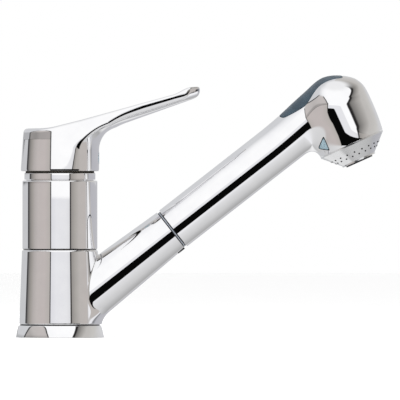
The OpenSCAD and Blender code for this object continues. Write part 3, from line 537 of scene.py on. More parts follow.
# Belly of the lever: half its width, its depth, and how that depth shrinks from start over length
BELLY_HALF = 26.5
BELLY_LEAN = 0.0671
BELLY_DEEP = 4.3
BELLY_LESS = ((1.5, 36, 40), (0.7, 50, 30))
BELLY_HALF_LEAST = 4
BELLY_END = 1.3
BELLY_POWER = 2.4
BELLY_SCALE = 0.93
BELLY_BLEND = 2.5

# Facets that cut the lever's tip: a point of theirs, their direction, and their edge with the end
FACET_X = 82.5
FACET_Y = 9.26
FACET_Z = 156.3
FACET_WAY = (0.623, 0.767, 0.155)
FACET_EDGE = 1.5

# Edges of the lever: how far their change has come from start over length, and back near the tip
AWAY_X = 15
AWAY_LENGTH = 40
BACK = 0.3
BACK_X = 76
BACK_LENGTH = 10
TIP_EDGE = 0.9
TOP_EDGE = 2.8
TOP_EDGE_LESS = 1.2
CREASE = 0.8
CREASE_MORE = 4.5
TOP_TILT = math.radians(13)


def lever_top(x):
    """Height of the lever's top line."""
    t = (x - BEND_X) / BEND_LENGTH
    bend = np.where(t < 0, 0, np.where(t < 1, t**2 / 2, t - 0.5))
    lip = LIP_H * eased(share(x, LIP_X, LIP_LENGTH)) - LIP_FALL * np.maximum(x - LIP_END_X, 0)
    return CAP_TOP + RISE * BEND_LENGTH * bend + lip - SINK * share(x, SINK_X, SINK_LENGTH)


def lever_low(x):
    """Height of the lever's lowest line."""
    return CAP_TOP + RISE * (x - LOW_X) - LOW_DROP + THIN * (x - THIN_X) / THIN_LENGTH


def lever_sides(p):
    """Distance to the cap's cone and the lever's flanks."""
    x, y, z = p.T
    y = np.abs(y)
    s = math.sin(LEVER_SIDE)
    c = math.cos(LEVER_SIDE)
    reach = np.where(x * c > y * s, x * s + y * c, np.sqrt(x**2 + y**2))
    waist = WAIST * np.clip(z - WAIST_Z, 0, None)
    return (reach - CAP_R + (z - CAP_Z) * math.tan(CAP_LEAN) + waist) * math.cos(CAP_LEAN)


def lever_flare(p):
    """Distance to the flare that leads from the cap into the lever."""
    x, y, z = p.T
    rho = axial(p)
    bend = FLARE_R - np.sqrt((rho - FLARE_X) ** 2 + (z - FLARE_Z) ** 2)
    line = (FLARE_END_Z + (rho - FLARE_END_X) * FLARE_SLOPE - z) / math.hypot(1, FLARE_SLOPE)
    flare = np.where(z < FLARE_Z, rho - CAP_R, np.where(rho < FLARE_END_X, bend, line))
    return flare - FLARE_BACK * (1 - share(x, 0, FLARE_BACK_FADE))


def lever_belly(p):
    """Distance to the hollowed underside of the lever."""
    x, y, z = p.T
    low = lever_low(x)
    half = BELLY_HALF - (low - CAP_Z) * BELLY_LEAN - x * math.tan(LEVER_SIDE)
    v = np.clip(np.abs(y) / np.maximum(half, BELLY_HALF_LEAST), 0, BELLY_END)
    deep = BELLY_DEEP - sum(less * share(x, start, length) for less, start, length in BELLY_LESS)
    return (low + deep * v**BELLY_POWER - z) * BELLY_SCALE


def lever_tip(p):
    """Distance to the end of the lever and its two facets."""
    x, y, z = p.T
    a, b, c = FACET_WAY
    facet = (x - FACET_X) * a + (np.abs(y) - FACET_Y) * b - (z - FACET_Z) * c
    return smax(facet, x - LEVER_L, FACET_EDGE)


def lever_skin(p):
    """Flanks, top and underside, with the crease between them rounder towards the tip."""
    x, y, z = p.T
    top = (z - lever_top(x)) * math.cos(TOP_TILT)
    away = share(x, AWAY_X, AWAY_LENGTH) - BACK * share(x, BACK_X, BACK_LENGTH)
    sides = smax(lever_sides(p), lever_tip(p), TIP_EDGE)
    under = smin(lever_flare(p), lever_belly(p), BELLY_BLEND)
    upper = smax(sides, top, TOP_EDGE - TOP_EDGE_LESS * away)
    return smax(upper, under, CREASE + CREASE_MORE * away)


# Inside of the cap: the hollow's radius and lean, its roof, and the screw's hole in the front
HOLLOW_R = 24.6
HOLLOW_LEAN = 0.085
ROOF_T = 4
ROOF_X = 60
HOLE_Z = 119.54
HOLE_R = 4.05
HOLE_X = 23.7

lever_faces = [
    lever_skin,
    lambda p: CAP_Z + RIM_H - p[:, 2],
    lambda p: axial(p) - HOLLOW_R + (p[:, 2] - CAP_Z) * HOLLOW_LEAN,
    lambda p: p[:, 2] - lever_top(np.minimum(p[:, 0], ROOF_X)) + ROOF_T,
    lambda p: np.sqrt(p[:, 1] ** 2 + (p[:, 2] - HOLE_Z) ** 2) - HOLE_R,
    lambda p: HOLE_X - p[:, 0],
]


def lever_tree(p):
    """The cap with its lever, hollow from below and holed in front."""
    skin, rim_face, hollow, roof, hole, hole_end = numbered(lever_faces, p)
    return without(without(both(skin, rim_face), both(hollow, roof)), both(hole, hole_end))


# Spout: its collar round the body, its arm and the blend between them
COLLAR_LOW = 8.72
COLLAR_HIGH = 58.42
COLLAR_R = 27.1
COLLAR_DRAFT = 1.9
COLLAR_H = COLLAR_HIGH - COLLAR_LOW
COLLAR_BORE = 20.08
COLLAR_STEP_R = 26.2
COLLAR_TOP_EDGE = 1.3
COLLAR_LOW_EDGE = 0.9
ARM_R = 18.7
ARM_DRAFT = 3.7
ARM_START = 8
ARM_START_EDGE = 2
ROOT_BLEND = 3.9
ROOT_CHANGE = 2.9
ROOT_UNDER = 12
ROOT_OVER = 3

# Spout's bore, and the notch in its mouth for the guide's tab
BORE_R = 13
BORE_START = 20
NOTCH_HALF = 3.55
NOTCH_T = 88.3
NOTCH_UNDER = 10


def collar_and_arm(p):
    """Outside of the spout: its collar, its arm and the fillet between them, wider below."""
    t, y, n = along(p, ARM_ROOT, ARM, SIDE, ARM_UP)
    z = p[:, 2]
    collar = axial(p) - COLLAR_R + COLLAR_DRAFT * (z - COLLAR_LOW) / COLLAR_H
    collar = smax(collar, z - COLLAR_HIGH, COLLAR_TOP_EDGE)
    collar = smax(collar, COLLAR_LOW - z, COLLAR_LOW_EDGE)
    arm = np.sqrt(y**2 + n**2) - ARM_R + ARM_DRAFT * t / MOUTH_T
    arm = smax(arm, ARM_START - t, ARM_START_EDGE)
    return smin(collar, arm, ROOT_BLEND - ROOT_CHANGE * np.tanh((n + ROOT_UNDER) / ROOT_OVER))


spout_faces = [
    collar_and_arm,
    lambda p: p[:, 2] - COLLAR_HIGH,
    lambda p: axial(p) - COLLAR_STEP_R,
    lambda p: COLLAR_LOW - p[:, 2],
    lambda p: arm_t(p) - MOUTH_T,
    lambda p: axial(p) - COLLAR_BORE,
    lambda p: np.sqrt(p[:, 1] ** 2 + along(p, ARM_ROOT, ARM_UP)[0] ** 2) - BORE_R,
    lambda p: BORE_START - arm_t(p),
    lambda p: np.maximum(np.abs(p[:, 1]) - NOTCH_HALF, NOTCH_T - arm_t(p)),
    lambda p: NOTCH_UNDER + along(p, ARM_ROOT, ARM_UP)[0],
]


def spout_tree(p):
    """The spout with its collar, the collar's bore, the arm's bore and the notch in its mouth."""
    skin, top, step, low, mouth, collar_bore, bore, bore_end, notch, notch_end = numbered(spout_faces, p)
    outside_step = (-step[0], step[1])
    whole = both(both(skin, either(top, outside_step)), both(low, mouth))
    return without(without(without(whole, collar_bore), both(bore, bore_end)), both(notch, notch_end))


# Materials


def linear(value):
    """Linear value of an sRGB value from 0 to 255."""
    v = value / 255
    return v / 12.92 if v <= 0.04045 else ((v + 0.055) / 1.055) ** 2.4


def colour(r, g, b):
    """Linear colour of an sRGB triple from 0 to 255."""
    return (linear(r), linear(g), linear(b))


def grey(value):
    """Linear colour of an sRGB grey from 0 to 255."""
    return colour(value, value, value)


# Places of the two colours among a mix node's inputs, and of the colour among its outputs
MIX_A = 6
MIX_B = 7
MIX_OUT = 2


class Maker:
    """Builds one procedural material."""

    def __init__(self, name, material=None):
        self.material = material or bpy.data.materials.new(name)
        self.material.use_nodes = True
        self.tree = self.material.node_tree
        self.shader = self.tree.nodes["Principled BSDF"]
        self.place = self.node("ShaderNodeTexCoord").outputs["Object"]

    def node(self, kind, **values):
        """New node with some of its inputs or settings given by name."""
        made = self.tree.nodes.new(kind)
        for name, value in values.items():
            if name in made.inputs:
                made.inputs[name].default_value = value
            else:
                setattr(made, name, value)
        return made

    def link(self, a, b):
        """Link from an output to an input."""
        self.tree.links.new(a, b)

    def noise(self, scale, detail, rough, stretch=None):
        """Noise texture's value in object space; the scale is in cycles a metre."""
        made = self.node("ShaderNodeTexNoise", Scale=scale, Detail=detail, Roughness=rough)
        source = self.place
        if stretch:
            turn = self.node("ShaderNodeMapping", Scale=stretch)
            self.link(self.place, turn.inputs["Vector"])
            source = turn.outputs["Vector"]
        self.link(source, made.inputs["Vector"])
        return made.outputs["Fac"]

    def cells(self, scale):
        """Distance to the nearest of scattered points."""
        made = self.node("ShaderNodeTexVoronoi", Scale=scale)
        self.link(self.place, made.inputs["Vector"])
        return made.outputs["Distance"]

    def ramp(self, source, stops):
        """Colour ramp over (place, colour) stops."""
        made = self.node("ShaderNodeValToRGB")
        ends = made.color_ramp.elements
        while len(ends) < len(stops):
            ends.new(0.5)
        for end, (at, tone) in zip(ends, stops):
            end.position = at
            end.color = (*tone, 1)
        self.link(source, made.inputs["Fac"])
        return made.outputs["Color"]

    def span(self, source, a, b, c, d):
        """Maps the range a to b on to the range c to d."""
        made = self.node("ShaderNodeMapRange")
        for name, value in zip(("From Min", "From Max", "To Min", "To Max"), (a, b, c, d)):
            made.inputs[name].default_value = value
        self.link(source, made.inputs["Value"])
        return made.outputs["Result"]

    def sums(self, a, b, how="ADD"):
        """Sum of two values, or another result of the two."""
        made = self.node("ShaderNodeMath", operation=how)
        self.link(a, made.inputs[0])
        self.link(b, made.inputs[1])
        return made.outputs[0]

    def bump(self, source, strength, distance):
        """Bump of the surface from a height."""
        made = self.node("ShaderNodeBump", Strength=strength, Distance=distance)
        self.link(source, made.inputs["Height"])
        self.link(made.outputs["Normal"], self.shader.inputs["Normal"])


def metal(name, tones, rough, spots=0.0, streak=None, wear=0.02):
    """Bare or plated metal with cloudy tone, uneven polish, faint spots and fine marks."""
    m = Maker(name)
    cloud = m.noise(scale=90, detail=5, rough=0.6)
    m.link(m.ramp(cloud, [(0.3, tones[0]), (0.7, tones[1])]), m.shader.inputs["Base Color"])
    fine = m.noise(scale=1400, detail=3, rough=0.6, stretch=streak)
    low, high = rough
    total = m.sums(m.span(cloud, 0.3, 0.7, low, high), m.span(fine, 0.55, 0.8, 0, wear))
    if spots:
        total = m.sums(total, m.span(m.cells(scale=160), 0.0, 0.16, spots, 0))
    m.link(total, m.shader.inputs["Roughness"])
    m.bump(fine, strength=0.06 if streak is None else 0.25, distance=0.00002)
    m.shader.inputs["Metallic"].default_value = 1.0
    return m.material


def plastic(name, tones, rough, bump=0.15, grain=1800, wear=0.06):
    """Moulded plastic, rubber or ceramic with a grained skin and rubbed places."""
    m = Maker(name)
    cloud = m.noise(scale=130, detail=4, rough=0.6)
    m.link(m.ramp(cloud, [(0.3, tones[0]), (0.7, tones[1])]), m.shader.inputs["Base Color"])
    grained = m.noise(scale=grain, detail=3, rough=0.7)
    low, high = rough
    rubbed = m.span(m.noise(scale=260, detail=5, rough=0.65), 0.45, 0.75, 0, wear)
    uneven = m.span(cloud, 0.25, 0.75, high, low)
    m.link(m.sums(uneven, rubbed, "SUBTRACT"), m.shader.inputs["Roughness"])
    m.bump(grained, strength=bump, distance=0.00006)
    return m.material


# Tones of the slate plastic
SLATE = (colour(38, 54, 66), colour(52, 70, 82))


def slate_look(name):
    """Slate plastic of the thumb pad and of the spout's guide."""
    return plastic(name, SLATE, rough=(0.3, 0.42), bump=0.16, grain=2200, wear=0.08)


def painted_bands(name, node, stops):
    """Slate plastic with painted shade and a painted highlight in bands along the spout, on a CAD node."""
    made = slate_look(name)
    m = Maker(name, made)
    start = Vector(ARM).dot(node.matrix_world.translation - Vector(ARM_ROOT / MM))
    far = m.node("ShaderNodeVectorMath", operation="DOT_PRODUCT")
    far.inputs[1].default_value = node.matrix_world.to_3x3().transposed() @ Vector(ARM)
    m.link(m.place, far.inputs[0])
    low = stops[0][0] / MM
    high = stops[-1][0] / MM
    reached = m.span(far.outputs["Value"], low - start, high - start, 0, 1)
    tones = m.ramp(reached, [((at / MM - low) / (high - low), colour(*tone)) for at, tone in stops])
    cloud = m.ramp(m.noise(scale=700, detail=4, rough=0.6), [(0.3, (0.82, 0.82, 0.82)), (0.7, (1, 1, 1))])
    mixed = m.node("ShaderNodeMix", data_type="RGBA", blend_type="MULTIPLY")
    mixed.inputs[0].default_value = 1.0
    m.link(tones, mixed.inputs[MIX_A])
    m.link(cloud, mixed.inputs[MIX_B])
    m.link(mixed.outputs[MIX_OUT], m.shader.inputs["Base Color"])
    return made


chrome = metal("chrome_plate", (colour(243, 243, 245), colour(249, 249, 250)), rough=(0.008, 0.022),
               spots=0.03)
satin = metal("satin_plate", (colour(234, 235, 236), colour(243, 243, 244)), rough=(0.17, 0.26), wear=0.05)
brass = metal("cast_brass", (colour(176, 138, 74), colour(206, 168, 96)), rough=(0.28, 0.45),
              spots=0.1, wear=0.1)
steel = metal("ground_steel", (colour(168, 170, 174), colour(196, 198, 200)), rough=(0.22, 0.34),
              streak=(1, 1, 9), wear=0.1)
rubber = plastic("black_rubber", (colour(24, 24, 26), colour(38, 38, 40)), rough=(0.62, 0.8),
                 bump=0.35, grain=1400)
dark = plastic("dark_plastic", (colour(30, 31, 34), colour(44, 45, 49)), rough=(0.38, 0.5), bump=0.2)
white = plastic("white_plastic", (colour(222, 221, 214), colour(236, 235, 230)), rough=(0.34, 0.46))
orange = plastic("orange_plastic", (colour(206, 104, 36), colour(222, 122, 48)), rough=(0.36, 0.5), bump=0.2)
# Dark brown-grey painted shade for the hollows, pockets, gaps and undersides of the plated pieces, standing
# in for the shade there
painted_shade = plastic("painted_shade_inside", (colour(46, 42, 36), colour(66, 60, 50)), rough=(0.55, 0.7),
                   bump=0.4, grain=900)
ceramic = plastic("pale_ceramic", (colour(226, 222, 212), colour(238, 235, 228)), rough=(0.1, 0.2),
                  bump=0.05, grain=2600, wear=0.03)
slate = slate_look("slate_plastic")
teal = plastic("teal_plastic", (colour(128, 150, 160), colour(140, 162, 172)), rough=(0.34, 0.46),
               bump=0.14, grain=2200)

FINISHES = {
    "polished_chrome": chrome,
    "raw_brass": brass,
    "black_rubber": rubber,
    "dark_plastic": dark,
    "white_plastic": white,
    "orange_plastic": orange,
    "ceramic": ceramic,
    "steel": steel,
    "slate_plastic": slate,
    "teal_plastic": teal,
    "satin_plate": satin,
}

# Tones of the spout's guide along the spout: its tab in near-black as a painted shadow gap, then the painted
# shade, painted highlight and painted shade lines of its ring
GUIDE_PAINTED_LIGHT = [(85, (8, 9, 11)), (93.7, (8, 9, 11)), (94.3, (16, 20, 26)), (94.45, (150, 156, 166)),
               (95.0, (150, 156, 166)), (95.15, (16, 20, 26)), (100, (16, 20, 26))]


def finish_nodes():
    """Gives every CAD node the material of its slots, and the spout's guide its bands of painted shade and
    painted highlight.
    """
    for name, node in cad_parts.items():
        for s in node.material_slots:
            for finish, material in FINISHES.items():
                if s.material and s.material.name.startswith(finish):
                    s.material = material
                    break
            else:
                print("no finish for", name, s.material)
    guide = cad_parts["dock_bush"]
    look = painted_bands("dock_painted_light", guide, GUIDE_PAINTED_LIGHT)
    for s in guide.material_slots:
        s.material = look


finish_nodes()


# Pieces


def piece(made, body, node, material, inside=None):
    """Puts a piece on its body in place of a CAD node and its materials; the second material, if given, is
    the dark painted shade on its shaded faces.
    """
    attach(made, body)
    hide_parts(node)
    made.data.materials.append(material)
    if inside:
        made.data.materials.append(inside)
    made.data.validate()


def spring(name, node):
    """Copy of a coil's CAD mesh in world space, shown in place of its node."""
    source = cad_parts[node]
    mesh = source.data.copy()
    mesh.transform(source.matrix_world)
    made = link_object(name, mesh)
    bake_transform(made)
    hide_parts(node)


def spray_shell():
    """Chromed shell of the hand spray, with dark painted shade on the walls and floors of the pad's well and
    the buttons' pockets.
    """
    made = solid("spray_shell_skin", shell_tree, shell_faces, low=(-138, -26, -37), high=(28, 26, 22),
                 h=0.7, origin=HEAD_AT, basis=[ARM, SIDE, ARM_UP], shaded_faces=(4, 5, 6, 7))
    piece(made, "hand_spray", "spray_shell", chrome, painted_shade)


def thumb_pad():
    """Slate pad on top of the spray's head."""
    made = solid("thumb_pad_skin", pad_tree, pad_faces, low=(-27, -16, -7), high=(27, 16, 12),
                 h=0.5, origin=PAD_AT, basis=[PAD_X, SIDE, PAD_Z])
    piece(made, "selector", "selector_rocker", slate)


def side_buttons():
    """Both ends of the pause button."""
    made = solid("side_button_skins", button_tree, button_faces, low=(-23, -30, -29), high=(-13, 30, -17),
                 h=0.4, origin=HEAD_AT, basis=[HEAD_OUT, SIDE, -HEAD_AXIS])
    piece(made, "side_buttons", "pause_buttons", teal)


def lever_cap():
    """Chromed cap with its lever, and the turned rim under it, with dark painted shade on their undersides,
    hollow and screw hole.
    """
    made = solid("lever_skin", lever_tree, lever_faces, low=(-28, -28, 110), high=(95, 28, 172),
                 h=0.5, shaded_faces=(2, 3, 4, 5))
    piece(made, "lever", "lever_handle", chrome, painted_shade)
    top_r = CAP_R - RIM_H * math.tan(CAP_LEAN)
    profile = [(HOLLOW_R, CAP_Z), (CAP_R - 0.3, CAP_Z), (CAP_R - 0.26, CAP_Z + 0.05),
               (top_r - 0.01, CAP_Z + 1.0), (top_r, CAP_Z + RIM_H), (HOLLOW_R, CAP_Z + RIM_H)]
    # The rim's underside and inner faces take the dark painted shade, a painted shadow line under the cap
    rim = lathe("lever_rim_skin", profile, shaded_faces=(0, 4, 5))
    piece(rim, "lever", "lever_handle", chrome, painted_shade)


def spout():
    """Chromed collar and arm of the spout, with dark painted shade in its bores and in the notch of its
    mouth.
    """
    made = solid("spout_skin", spout_tree, spout_faces, low=(-29, -29, 7), high=(88, 29, 88),
                 h=0.8, shaded_faces=(5, 6, 7, 8, 9))
    piece(made, "spout", "spout_body", chrome, painted_shade)


def foot_ring():
    """Chromed foot: a groove for the gasket below, a slightly bulging cone, and a rounded shoulder."""
    foot_r = 29.34
    lean = 1.62
    low = 0.3
    height = 7.3
    steps = 12
    floor_z = 0.05
    groove_z = 1.66
    top = 8.05
    bore = 24.06
    groove_r = 25.6
    lip_r = 28.6
    shares = [i / steps for i in range(steps + 1)]
    cone = [(foot_r - lean * (0.62 * f + 0.38 * f**2), low + height * f) for f in shares]
    under = [(groove_r, groove_z), (lip_r, groove_z), (lip_r, low), (28.75, floor_z), (29.1, floor_z)]
    shoulder = corner(27.28, 7.65, 0.4, 12)
    inside = [(bore, top), (bore, floor_z), (groove_r, floor_z)]
    made = lathe("foot_ring_skin", under + cone + shoulder + inside)
    piece(made, "base", "base_flange", chrome)


def upper_barrel():
    """Chromed upper barrel with a rounded top edge."""
    bore = 22.95
    low = 59.09
    top = 104.59
    edge = 0.95
    foot = [(bore, low), (24.75, low), (24.95, low + 0.21)]
    made = lathe("upper_sleeve_skin", foot + corner(24.0, top - edge, edge, 0) + [(bore, top)])
    piece(made, "base", "upper_sleeve", chrome)


def neck():
    """Chromed ring under the cap, with a thin lip on top in dark painted shade, a painted shadow gap that
    closes the view under the cap.
    """
    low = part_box("neck_ring")[0][2] * MM + 0.05
    root_r = 21.1
    skirt_r = 22.45
    step_z = 105.19
    top = 109.85
    bore = 13.05
    under = 108.6
    lip_r = 22.8
    lip_bore = 22.2
    lip_top = CAP_Z + 0.35
    skirt = [(root_r, low), (skirt_r, low), (skirt_r, step_z), (23.45, step_z), (23.65, 105.4)]
    # Thin lip on top whose faces take the dark painted shade, as the painted shadow gap under the cap
    lip = [(lip_r, top), (lip_r, lip_top), (lip_bore, lip_top), (lip_bore, top)]
    inside = [(bore, top), (bore, under), (root_r, under)]
    made = lathe("neck_ring_skin", skirt + corner(22.85, 109.05, 0.8, 0) + lip + inside, shaded_faces=(11, 12, 13))
    piece(made, "base", "neck_ring", chrome, painted_shade)


spring("check_spring_coil", "check_spring")
spring("plunger_spring_coil", "plunger_spring")
spray_shell()
thumb_pad()
side_buttons()
lever_cap()
spout()
foot_ring()
upper_barrel()
neck()


# Studio that the metal mirrors: tones by the turn from the front, negative to the left, in degrees

# Near the horizon
LOW_TONES = [
    (-180, (196, 197, 199)), (-120, (199, 200, 202)), (-116.5, (196, 196, 198)), (-115, (52, 51, 52)),
    (-111, (60, 59, 60)), (-107, (112, 110, 108)), (-101, (142, 138, 134)), (-92, (162, 157, 152)),
    (-83, (178, 172, 169)), (-70, (190, 183, 180)), (-46, (192, 184, 181)), (-30, (182, 177, 172)),
    (-28.8, (176, 171, 167)), (-28.2, (40, 39, 40)), (-26, (24, 23, 24)), (-25.4, (222, 222, 226)),
    (-10, (231, 231, 234)), (20, (230, 230, 232)), (31.6, (222, 222, 224)), (32.4, (40, 38, 38)),
    (35.6, (60, 58, 57)), (36.4, (150, 146, 142)), (48, (170, 166, 161)), (62, (186, 181, 177)),
    (84, (188, 182, 178)), (89, (184, 180, 178)), (92, (236, 236, 238)), (98, (232, 232, 235)),
    (101, (130, 130, 134)), (106, (142, 143, 147)), (112, (182, 182, 187)), (180, (190, 190, 194)),
]
# Above it
HIGH_TONES = [
    (-180, (190, 185, 182)), (-80, (172, 168, 165)), (-64, (190, 185, 182)), (-34, (196, 190, 187)),
    (-28.8, (186, 182, 179)), (-28.2, (34, 33, 34)), (-26, (24, 23, 24)), (-25.4, (252, 252, 252)),
    (-12, (254, 254, 254)), (31.4, (254, 254, 254)), (32.4, (30, 29, 30)), (36.4, (44, 42, 42)),
    (39, (120, 118, 115)), (50, (160, 157, 153)), (64, (190, 187, 183)), (100, (198, 196, 192)),
    (140, (206, 206, 207)), (180, (206, 207, 209)),
]
# Higher still
TOP_TONES = [
    (-180, (206, 207, 209)), (-40, (208, 209, 211)), (-25, (246, 246, 247)), (-18, (254, 254, 254)),
    (31.4, (254, 254, 254)), (32.4, (30, 29, 30)), (36.4, (44, 42, 42)), (39, (120, 118, 115)),
    (50, (160, 157, 153)), (64, (190, 187, 183)), (140, (206, 206, 207)), (180, (206, 207, 209)),
]
# Below, in place of the worktop
UNDER_TONES = [
    (-180, (240, 240, 240)), (-162, (232, 232, 232)), (-148, (190, 190, 190)), (-90, (206, 206, 206)),
    (-30, (220, 220, 220)), (0, (236, 236, 238)), (24, (240, 240, 242)), (36, (222, 222, 223)),
    (60, (212, 212, 212)), (90, (202, 202, 202)), (120, (184, 184, 184)), (145, (168, 168, 168)),
    (160, (226, 226, 226)), (180, (240, 240, 240)),
]
# Factors by the rise over the horizon: a thin dim line and a fainter band over it, on the left
LINE_TONES = [
    (-20, (255, 255, 255)), (9.2, (255, 255, 255)), (9.6, (128, 128, 128)), (10.1, (128, 128, 128)),
    (10.5, (218, 218, 218)), (15, (220, 220, 220)), (19, (255, 255, 255)), (40, (255, 255, 255)),
]
# Slanted dark border at the far left, by the turn from it
BORDER_TONES = [
    (-20, (206, 207, 209)), (-2.4, (206, 207, 209)), (-1.4, (70, 70, 72)), (1.4, (60, 60, 60)),
    (3.5, (160, 157, 154)), (20, (190, 185, 182)),
]
BORDER_TURN = 116.3
BORDER_SLANT = 0.98
BORDER_END = (3, 5)

# Growth of the bands' width with the rise: its amount, and the rises where it starts and ends
WIDEN_LEFT = ((0.45, 12, 27), (0.85, 27, 42), (0.7, 42, 54))
WIDEN_RIGHT = ((0.55, 12, 30), (1.2, 34, 63))

# The bright opening in the middle, how much lower its foot is, and the least divisor of the rise
OPENING = (-25.6, -25.0, 32.0, 32.6)
OPENING_LIFT = 2.8
LEAST_SLANT = 0.25

# Rises over which one row of tones gives way to the next
UNDER_RISE = (-30, -24)
HIGH_RISE = (9.5, 10.2)
TOP_RISE = (34, 40)
OVERHEAD_RISE = (56, 74)
OVERHEAD = 240

# Dark patch in front, below the horizon
PATCH = 8
PATCH_TURN = (-28.6, -27.6, 58, 64)
PATCH_RISE = (-27.2, -26.2, -2.3, -1.6)


class Sky:
    """Node tree of the world, with short names for its sums."""

    def __init__(self, tree):
        self.tree = tree

    def link(self, a, b):
        """Link from an output to an input."""
        self.tree.links.new(a, b)

    def calc(self, how, *values):
        """Sum or other result of values, which are numbers or outputs."""
        made = self.tree.nodes.new("ShaderNodeMath")
        made.operation = how
        for socket, value in zip(made.inputs, values):
            if isinstance(value, (int, float)):
                socket.default_value = value
            else:
                self.link(value, socket)
        return made.outputs[0]

    def step(self, value, low, high, smooth=True):
        """0 under low, 1 over high."""
        made = self.tree.nodes.new("ShaderNodeMapRange")
        made.interpolation_type = "SMOOTHSTEP" if smooth else "LINEAR"
        made.inputs["From Min"].default_value = low
        made.inputs["From Max"].default_value = high
        self.link(value, made.inputs["Value"])
        return made.outputs["Result"]

    def between(self, value, a, b, c, d):
        """1 between b and c, 0 outside a to d."""
        under_d = self.calc("SUBTRACT", 1.0, self.step(value, c, d))
        return self.calc("MULTIPLY", self.step(value, a, b), under_d)

    def grown(self, value, *parts):
        """1 with each (amount, low, high) part added as the value goes from low to high."""
        terms = [self.calc("MULTIPLY", self.step(value, low, high, False), amount)
                 for amount, low, high in parts]
        total = terms.pop()
        while terms:
            total = self.calc("ADD", terms.pop(), total)
        return self.calc("ADD", 1.0, total)

    def bands(self, value, stops):
        """Tones along a value, from (value, sRGB tone) stops."""
        low = stops[0][0]
        high = stops[-1][0]
        ramp = self.tree.nodes.new("ShaderNodeValToRGB")
        ends = ramp.color_ramp.elements
        while len(ends) < len(stops):
            ends.new(0.5)
        for end, (at, tone) in zip(ends, stops):
            end.position = (at - low) / (high - low)
            end.color = (*colour(*tone), 1)
        self.link(self.step(value, low, high, smooth=False), ramp.inputs["Fac"])
        return ramp.outputs["Color"]

    def tone(self, value):
        """Output with one sRGB grey."""
        made = self.tree.nodes.new("ShaderNodeRGB")
        made.outputs[0].default_value = (*grey(value), 1)
        return made.outputs[0]

    def mix(self, a, b, amount, how="MIX"):
        """Colour between a and b, or another mix of the two."""
        made = self.tree.nodes.new("ShaderNodeMix")
        made.data_type = "RGBA"
        made.blend_type = how
        self.link(amount, made.inputs[0])
        self.link(a, made.inputs[MIX_A])
        self.link(b, made.inputs[MIX_B])
        return made.outputs[MIX_OUT]

    def light(self, strength, value=None, source=None):
        """Background light with one sRGB grey, or with a linked colour."""
        made = self.tree.nodes.new("ShaderNodeBackground")
        made.inputs["Strength"].default_value = strength
        if source:
            self.link(source, made.inputs["Color"])
        else:
            made.inputs["Color"].default_value = (*grey(value), 1)
        return made.outputs[0]

    def choose(self, test, no, yes):
        """One of two lights, by a ray's kind."""
        made = self.tree.nodes.new("ShaderNodeMixShader")
        self.link(test, made.inputs[0])
        self.link(no, made.inputs[1])
        self.link(yes, made.inputs[2])
        return made.outputs[0]


def directions(sky):
    """Turn from the front and rise over the horizon of a direction, in degrees."""
    parts = sky.tree.nodes.new("ShaderNodeSeparateXYZ")
    sky.link(sky.tree.nodes.new("ShaderNodeTexCoord").outputs["Generated"], parts.inputs[0])
    degrees = math.degrees(1)
    ahead = sky.calc("MULTIPLY", parts.outputs["Y"], -1.0)
    turn = sky.calc("MULTIPLY", sky.calc("ARCTAN2", parts.outputs["X"], ahead), degrees)
    rise = sky.calc("MULTIPLY", sky.calc("ARCSINE", parts.outputs["Z"]), degrees)
    return turn, rise


def widened(sky, turn, rise):
    """Turn in the bands, which widen with the rise, each side by its own growth."""
    left = sky.calc("MULTIPLY", sky.grown(rise, *WIDEN_LEFT), sky.step(turn, 0.5, -0.5))
    right = sky.calc("MULTIPLY", sky.grown(rise, *WIDEN_RIGHT), sky.step(turn, -0.5, 0.5))
    return sky.calc("DIVIDE", turn, sky.calc("ADD", left, right))


def mirrored(sky):
    """What the metal mirrors: bands that widen overhead, a dim line on the left, a dark patch in front."""
    turn, rise = directions(sky)
    side = widened(sky, turn, rise)
    inside = sky.between(side, *OPENING)
    slant = sky.calc("COSINE", sky.calc("MULTIPLY", turn, math.radians(0.5)))
    slanted = sky.calc("DIVIDE", rise, sky.calc("MAXIMUM", slant, LEAST_SLANT))
    lifted = sky.calc("ADD", slanted, sky.calc("MULTIPLY", inside, OPENING_LIFT))
    edge = sky.calc("SUBTRACT", BORDER_TURN, sky.calc("MULTIPLY", rise, BORDER_SLANT))
    edge = sky.calc("ADD", turn, edge)
    high = sky.mix(sky.bands(edge, BORDER_TONES), sky.bands(side, HIGH_TONES), sky.step(edge, *BORDER_END))
    high = sky.mix(high, sky.bands(side, TOP_TONES), sky.step(rise, *TOP_RISE))
    seen = sky.mix(sky.bands(side, LOW_TONES), high, sky.step(lifted, *HIGH_RISE))
    on_left = sky.calc("MULTIPLY", sky.step(turn, 0, -1), sky.calc("SUBTRACT", 1.0, inside))
    seen = sky.mix(seen, sky.bands(lifted, LINE_TONES), on_left, "MULTIPLY")
    seen = sky.mix(seen, sky.tone(OVERHEAD), sky.step(rise, *OVERHEAD_RISE))
    seen = sky.mix(sky.bands(turn, UNDER_TONES), seen, sky.step(rise, *UNDER_RISE))
    patch = sky.calc("MULTIPLY", sky.between(turn, *PATCH_TURN), sky.between(rise, *PATCH_RISE))
    return sky.mix(seen, sky.tone(PATCH), patch)


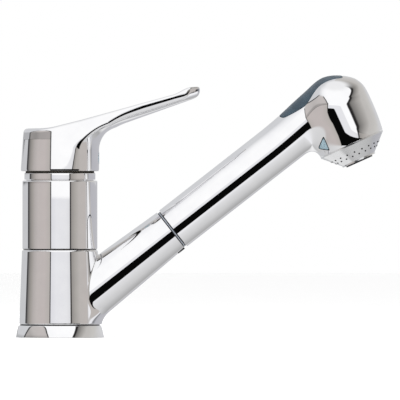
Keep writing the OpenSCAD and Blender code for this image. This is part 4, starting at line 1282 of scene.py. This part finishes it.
def studio():
    """World: the bands for mirror rays, plain white for the camera and soft grey light for the rest."""
    world = bpy.data.worlds.new("studio")
    bpy.context.scene.world = world
    world.use_nodes = True
    world.node_tree.nodes.clear()
    sky = Sky(world.node_tree)
    bands = sky.light(strength=1.06, source=mirrored(sky))
    pale = sky.light(strength=1.0, value=255)
    soft = sky.light(strength=1.22, value=238)
    ray = sky.tree.nodes.new("ShaderNodeLightPath")
    lit = sky.choose(ray.outputs["Is Glossy Ray"], soft, bands)
    shown = sky.choose(ray.outputs["Is Camera Ray"], lit, pale)
    sky.link(shown, sky.tree.nodes.new("ShaderNodeOutputWorld").inputs["Surface"])


studio()


# Lights, floor and camera, in metres

MIDDLE = (0.09, 0, 0.09)
FLOOR_MIDDLE = (0.1, 0.6, 0)
FLOOR_SIZE = 12
EYE = (0.0934, -5.0, 0.0753)
EYE_TILT = math.radians(90 + 0.187)


def panel(name, at, size, power):
    """Soft area light towards the faucet that metal doesn't mirror."""
    data = bpy.data.lights.new(name, "AREA")
    data.shape = "RECTANGLE"
    data.size, data.size_y = size
    data.energy = power
    made = link_object(name, data)
    made.location = at
    made.rotation_euler = (Vector(MIDDLE) - Vector(at)).to_track_quat("-Z", "Y").to_euler()
    made.visible_glossy = False
    made.visible_camera = False
    return made


def pale_floor():
    """Plain pale floor."""
    bpy.ops.mesh.primitive_plane_add(size=1, location=FLOOR_MIDDLE)
    made = bpy.context.object
    made.name = "floor"
    made.scale = (FLOOR_SIZE, FLOOR_SIZE, 1)
    look = plastic("floor_paint", (grey(250), grey(252)), rough=(0.7, 0.8), bump=0.02, grain=40, wear=0.02)
    made.data.materials.append(look)
    made.visible_glossy = False
    return made


def photo_camera():
    """Camera at the photograph's viewing angle."""
    lens = bpy.data.cameras.new("photo_view")
    lens.sensor_width = 36
    lens.lens = 675
    lens.clip_end = 20
    eye = link_object("photo_view", lens)
    eye.location = EYE
    eye.rotation_euler = (EYE_TILT, 0, 0)
    return eye


key = panel("key_light", at=(-0.5, -0.9, 1.2), size=(0.9, 0.9), power=9)
fill = panel("fill_light", at=(1.0, -0.7, 0.7), size=(0.9, 0.9), power=5)
back = panel("back_light", at=(0.2, 1.0, 0.9), size=(1.0, 0.8), power=5)
floor = pale_floor()
bpy.context.scene.camera = photo_camera()
bpy.context.scene.view_settings.view_transform = "Standard"
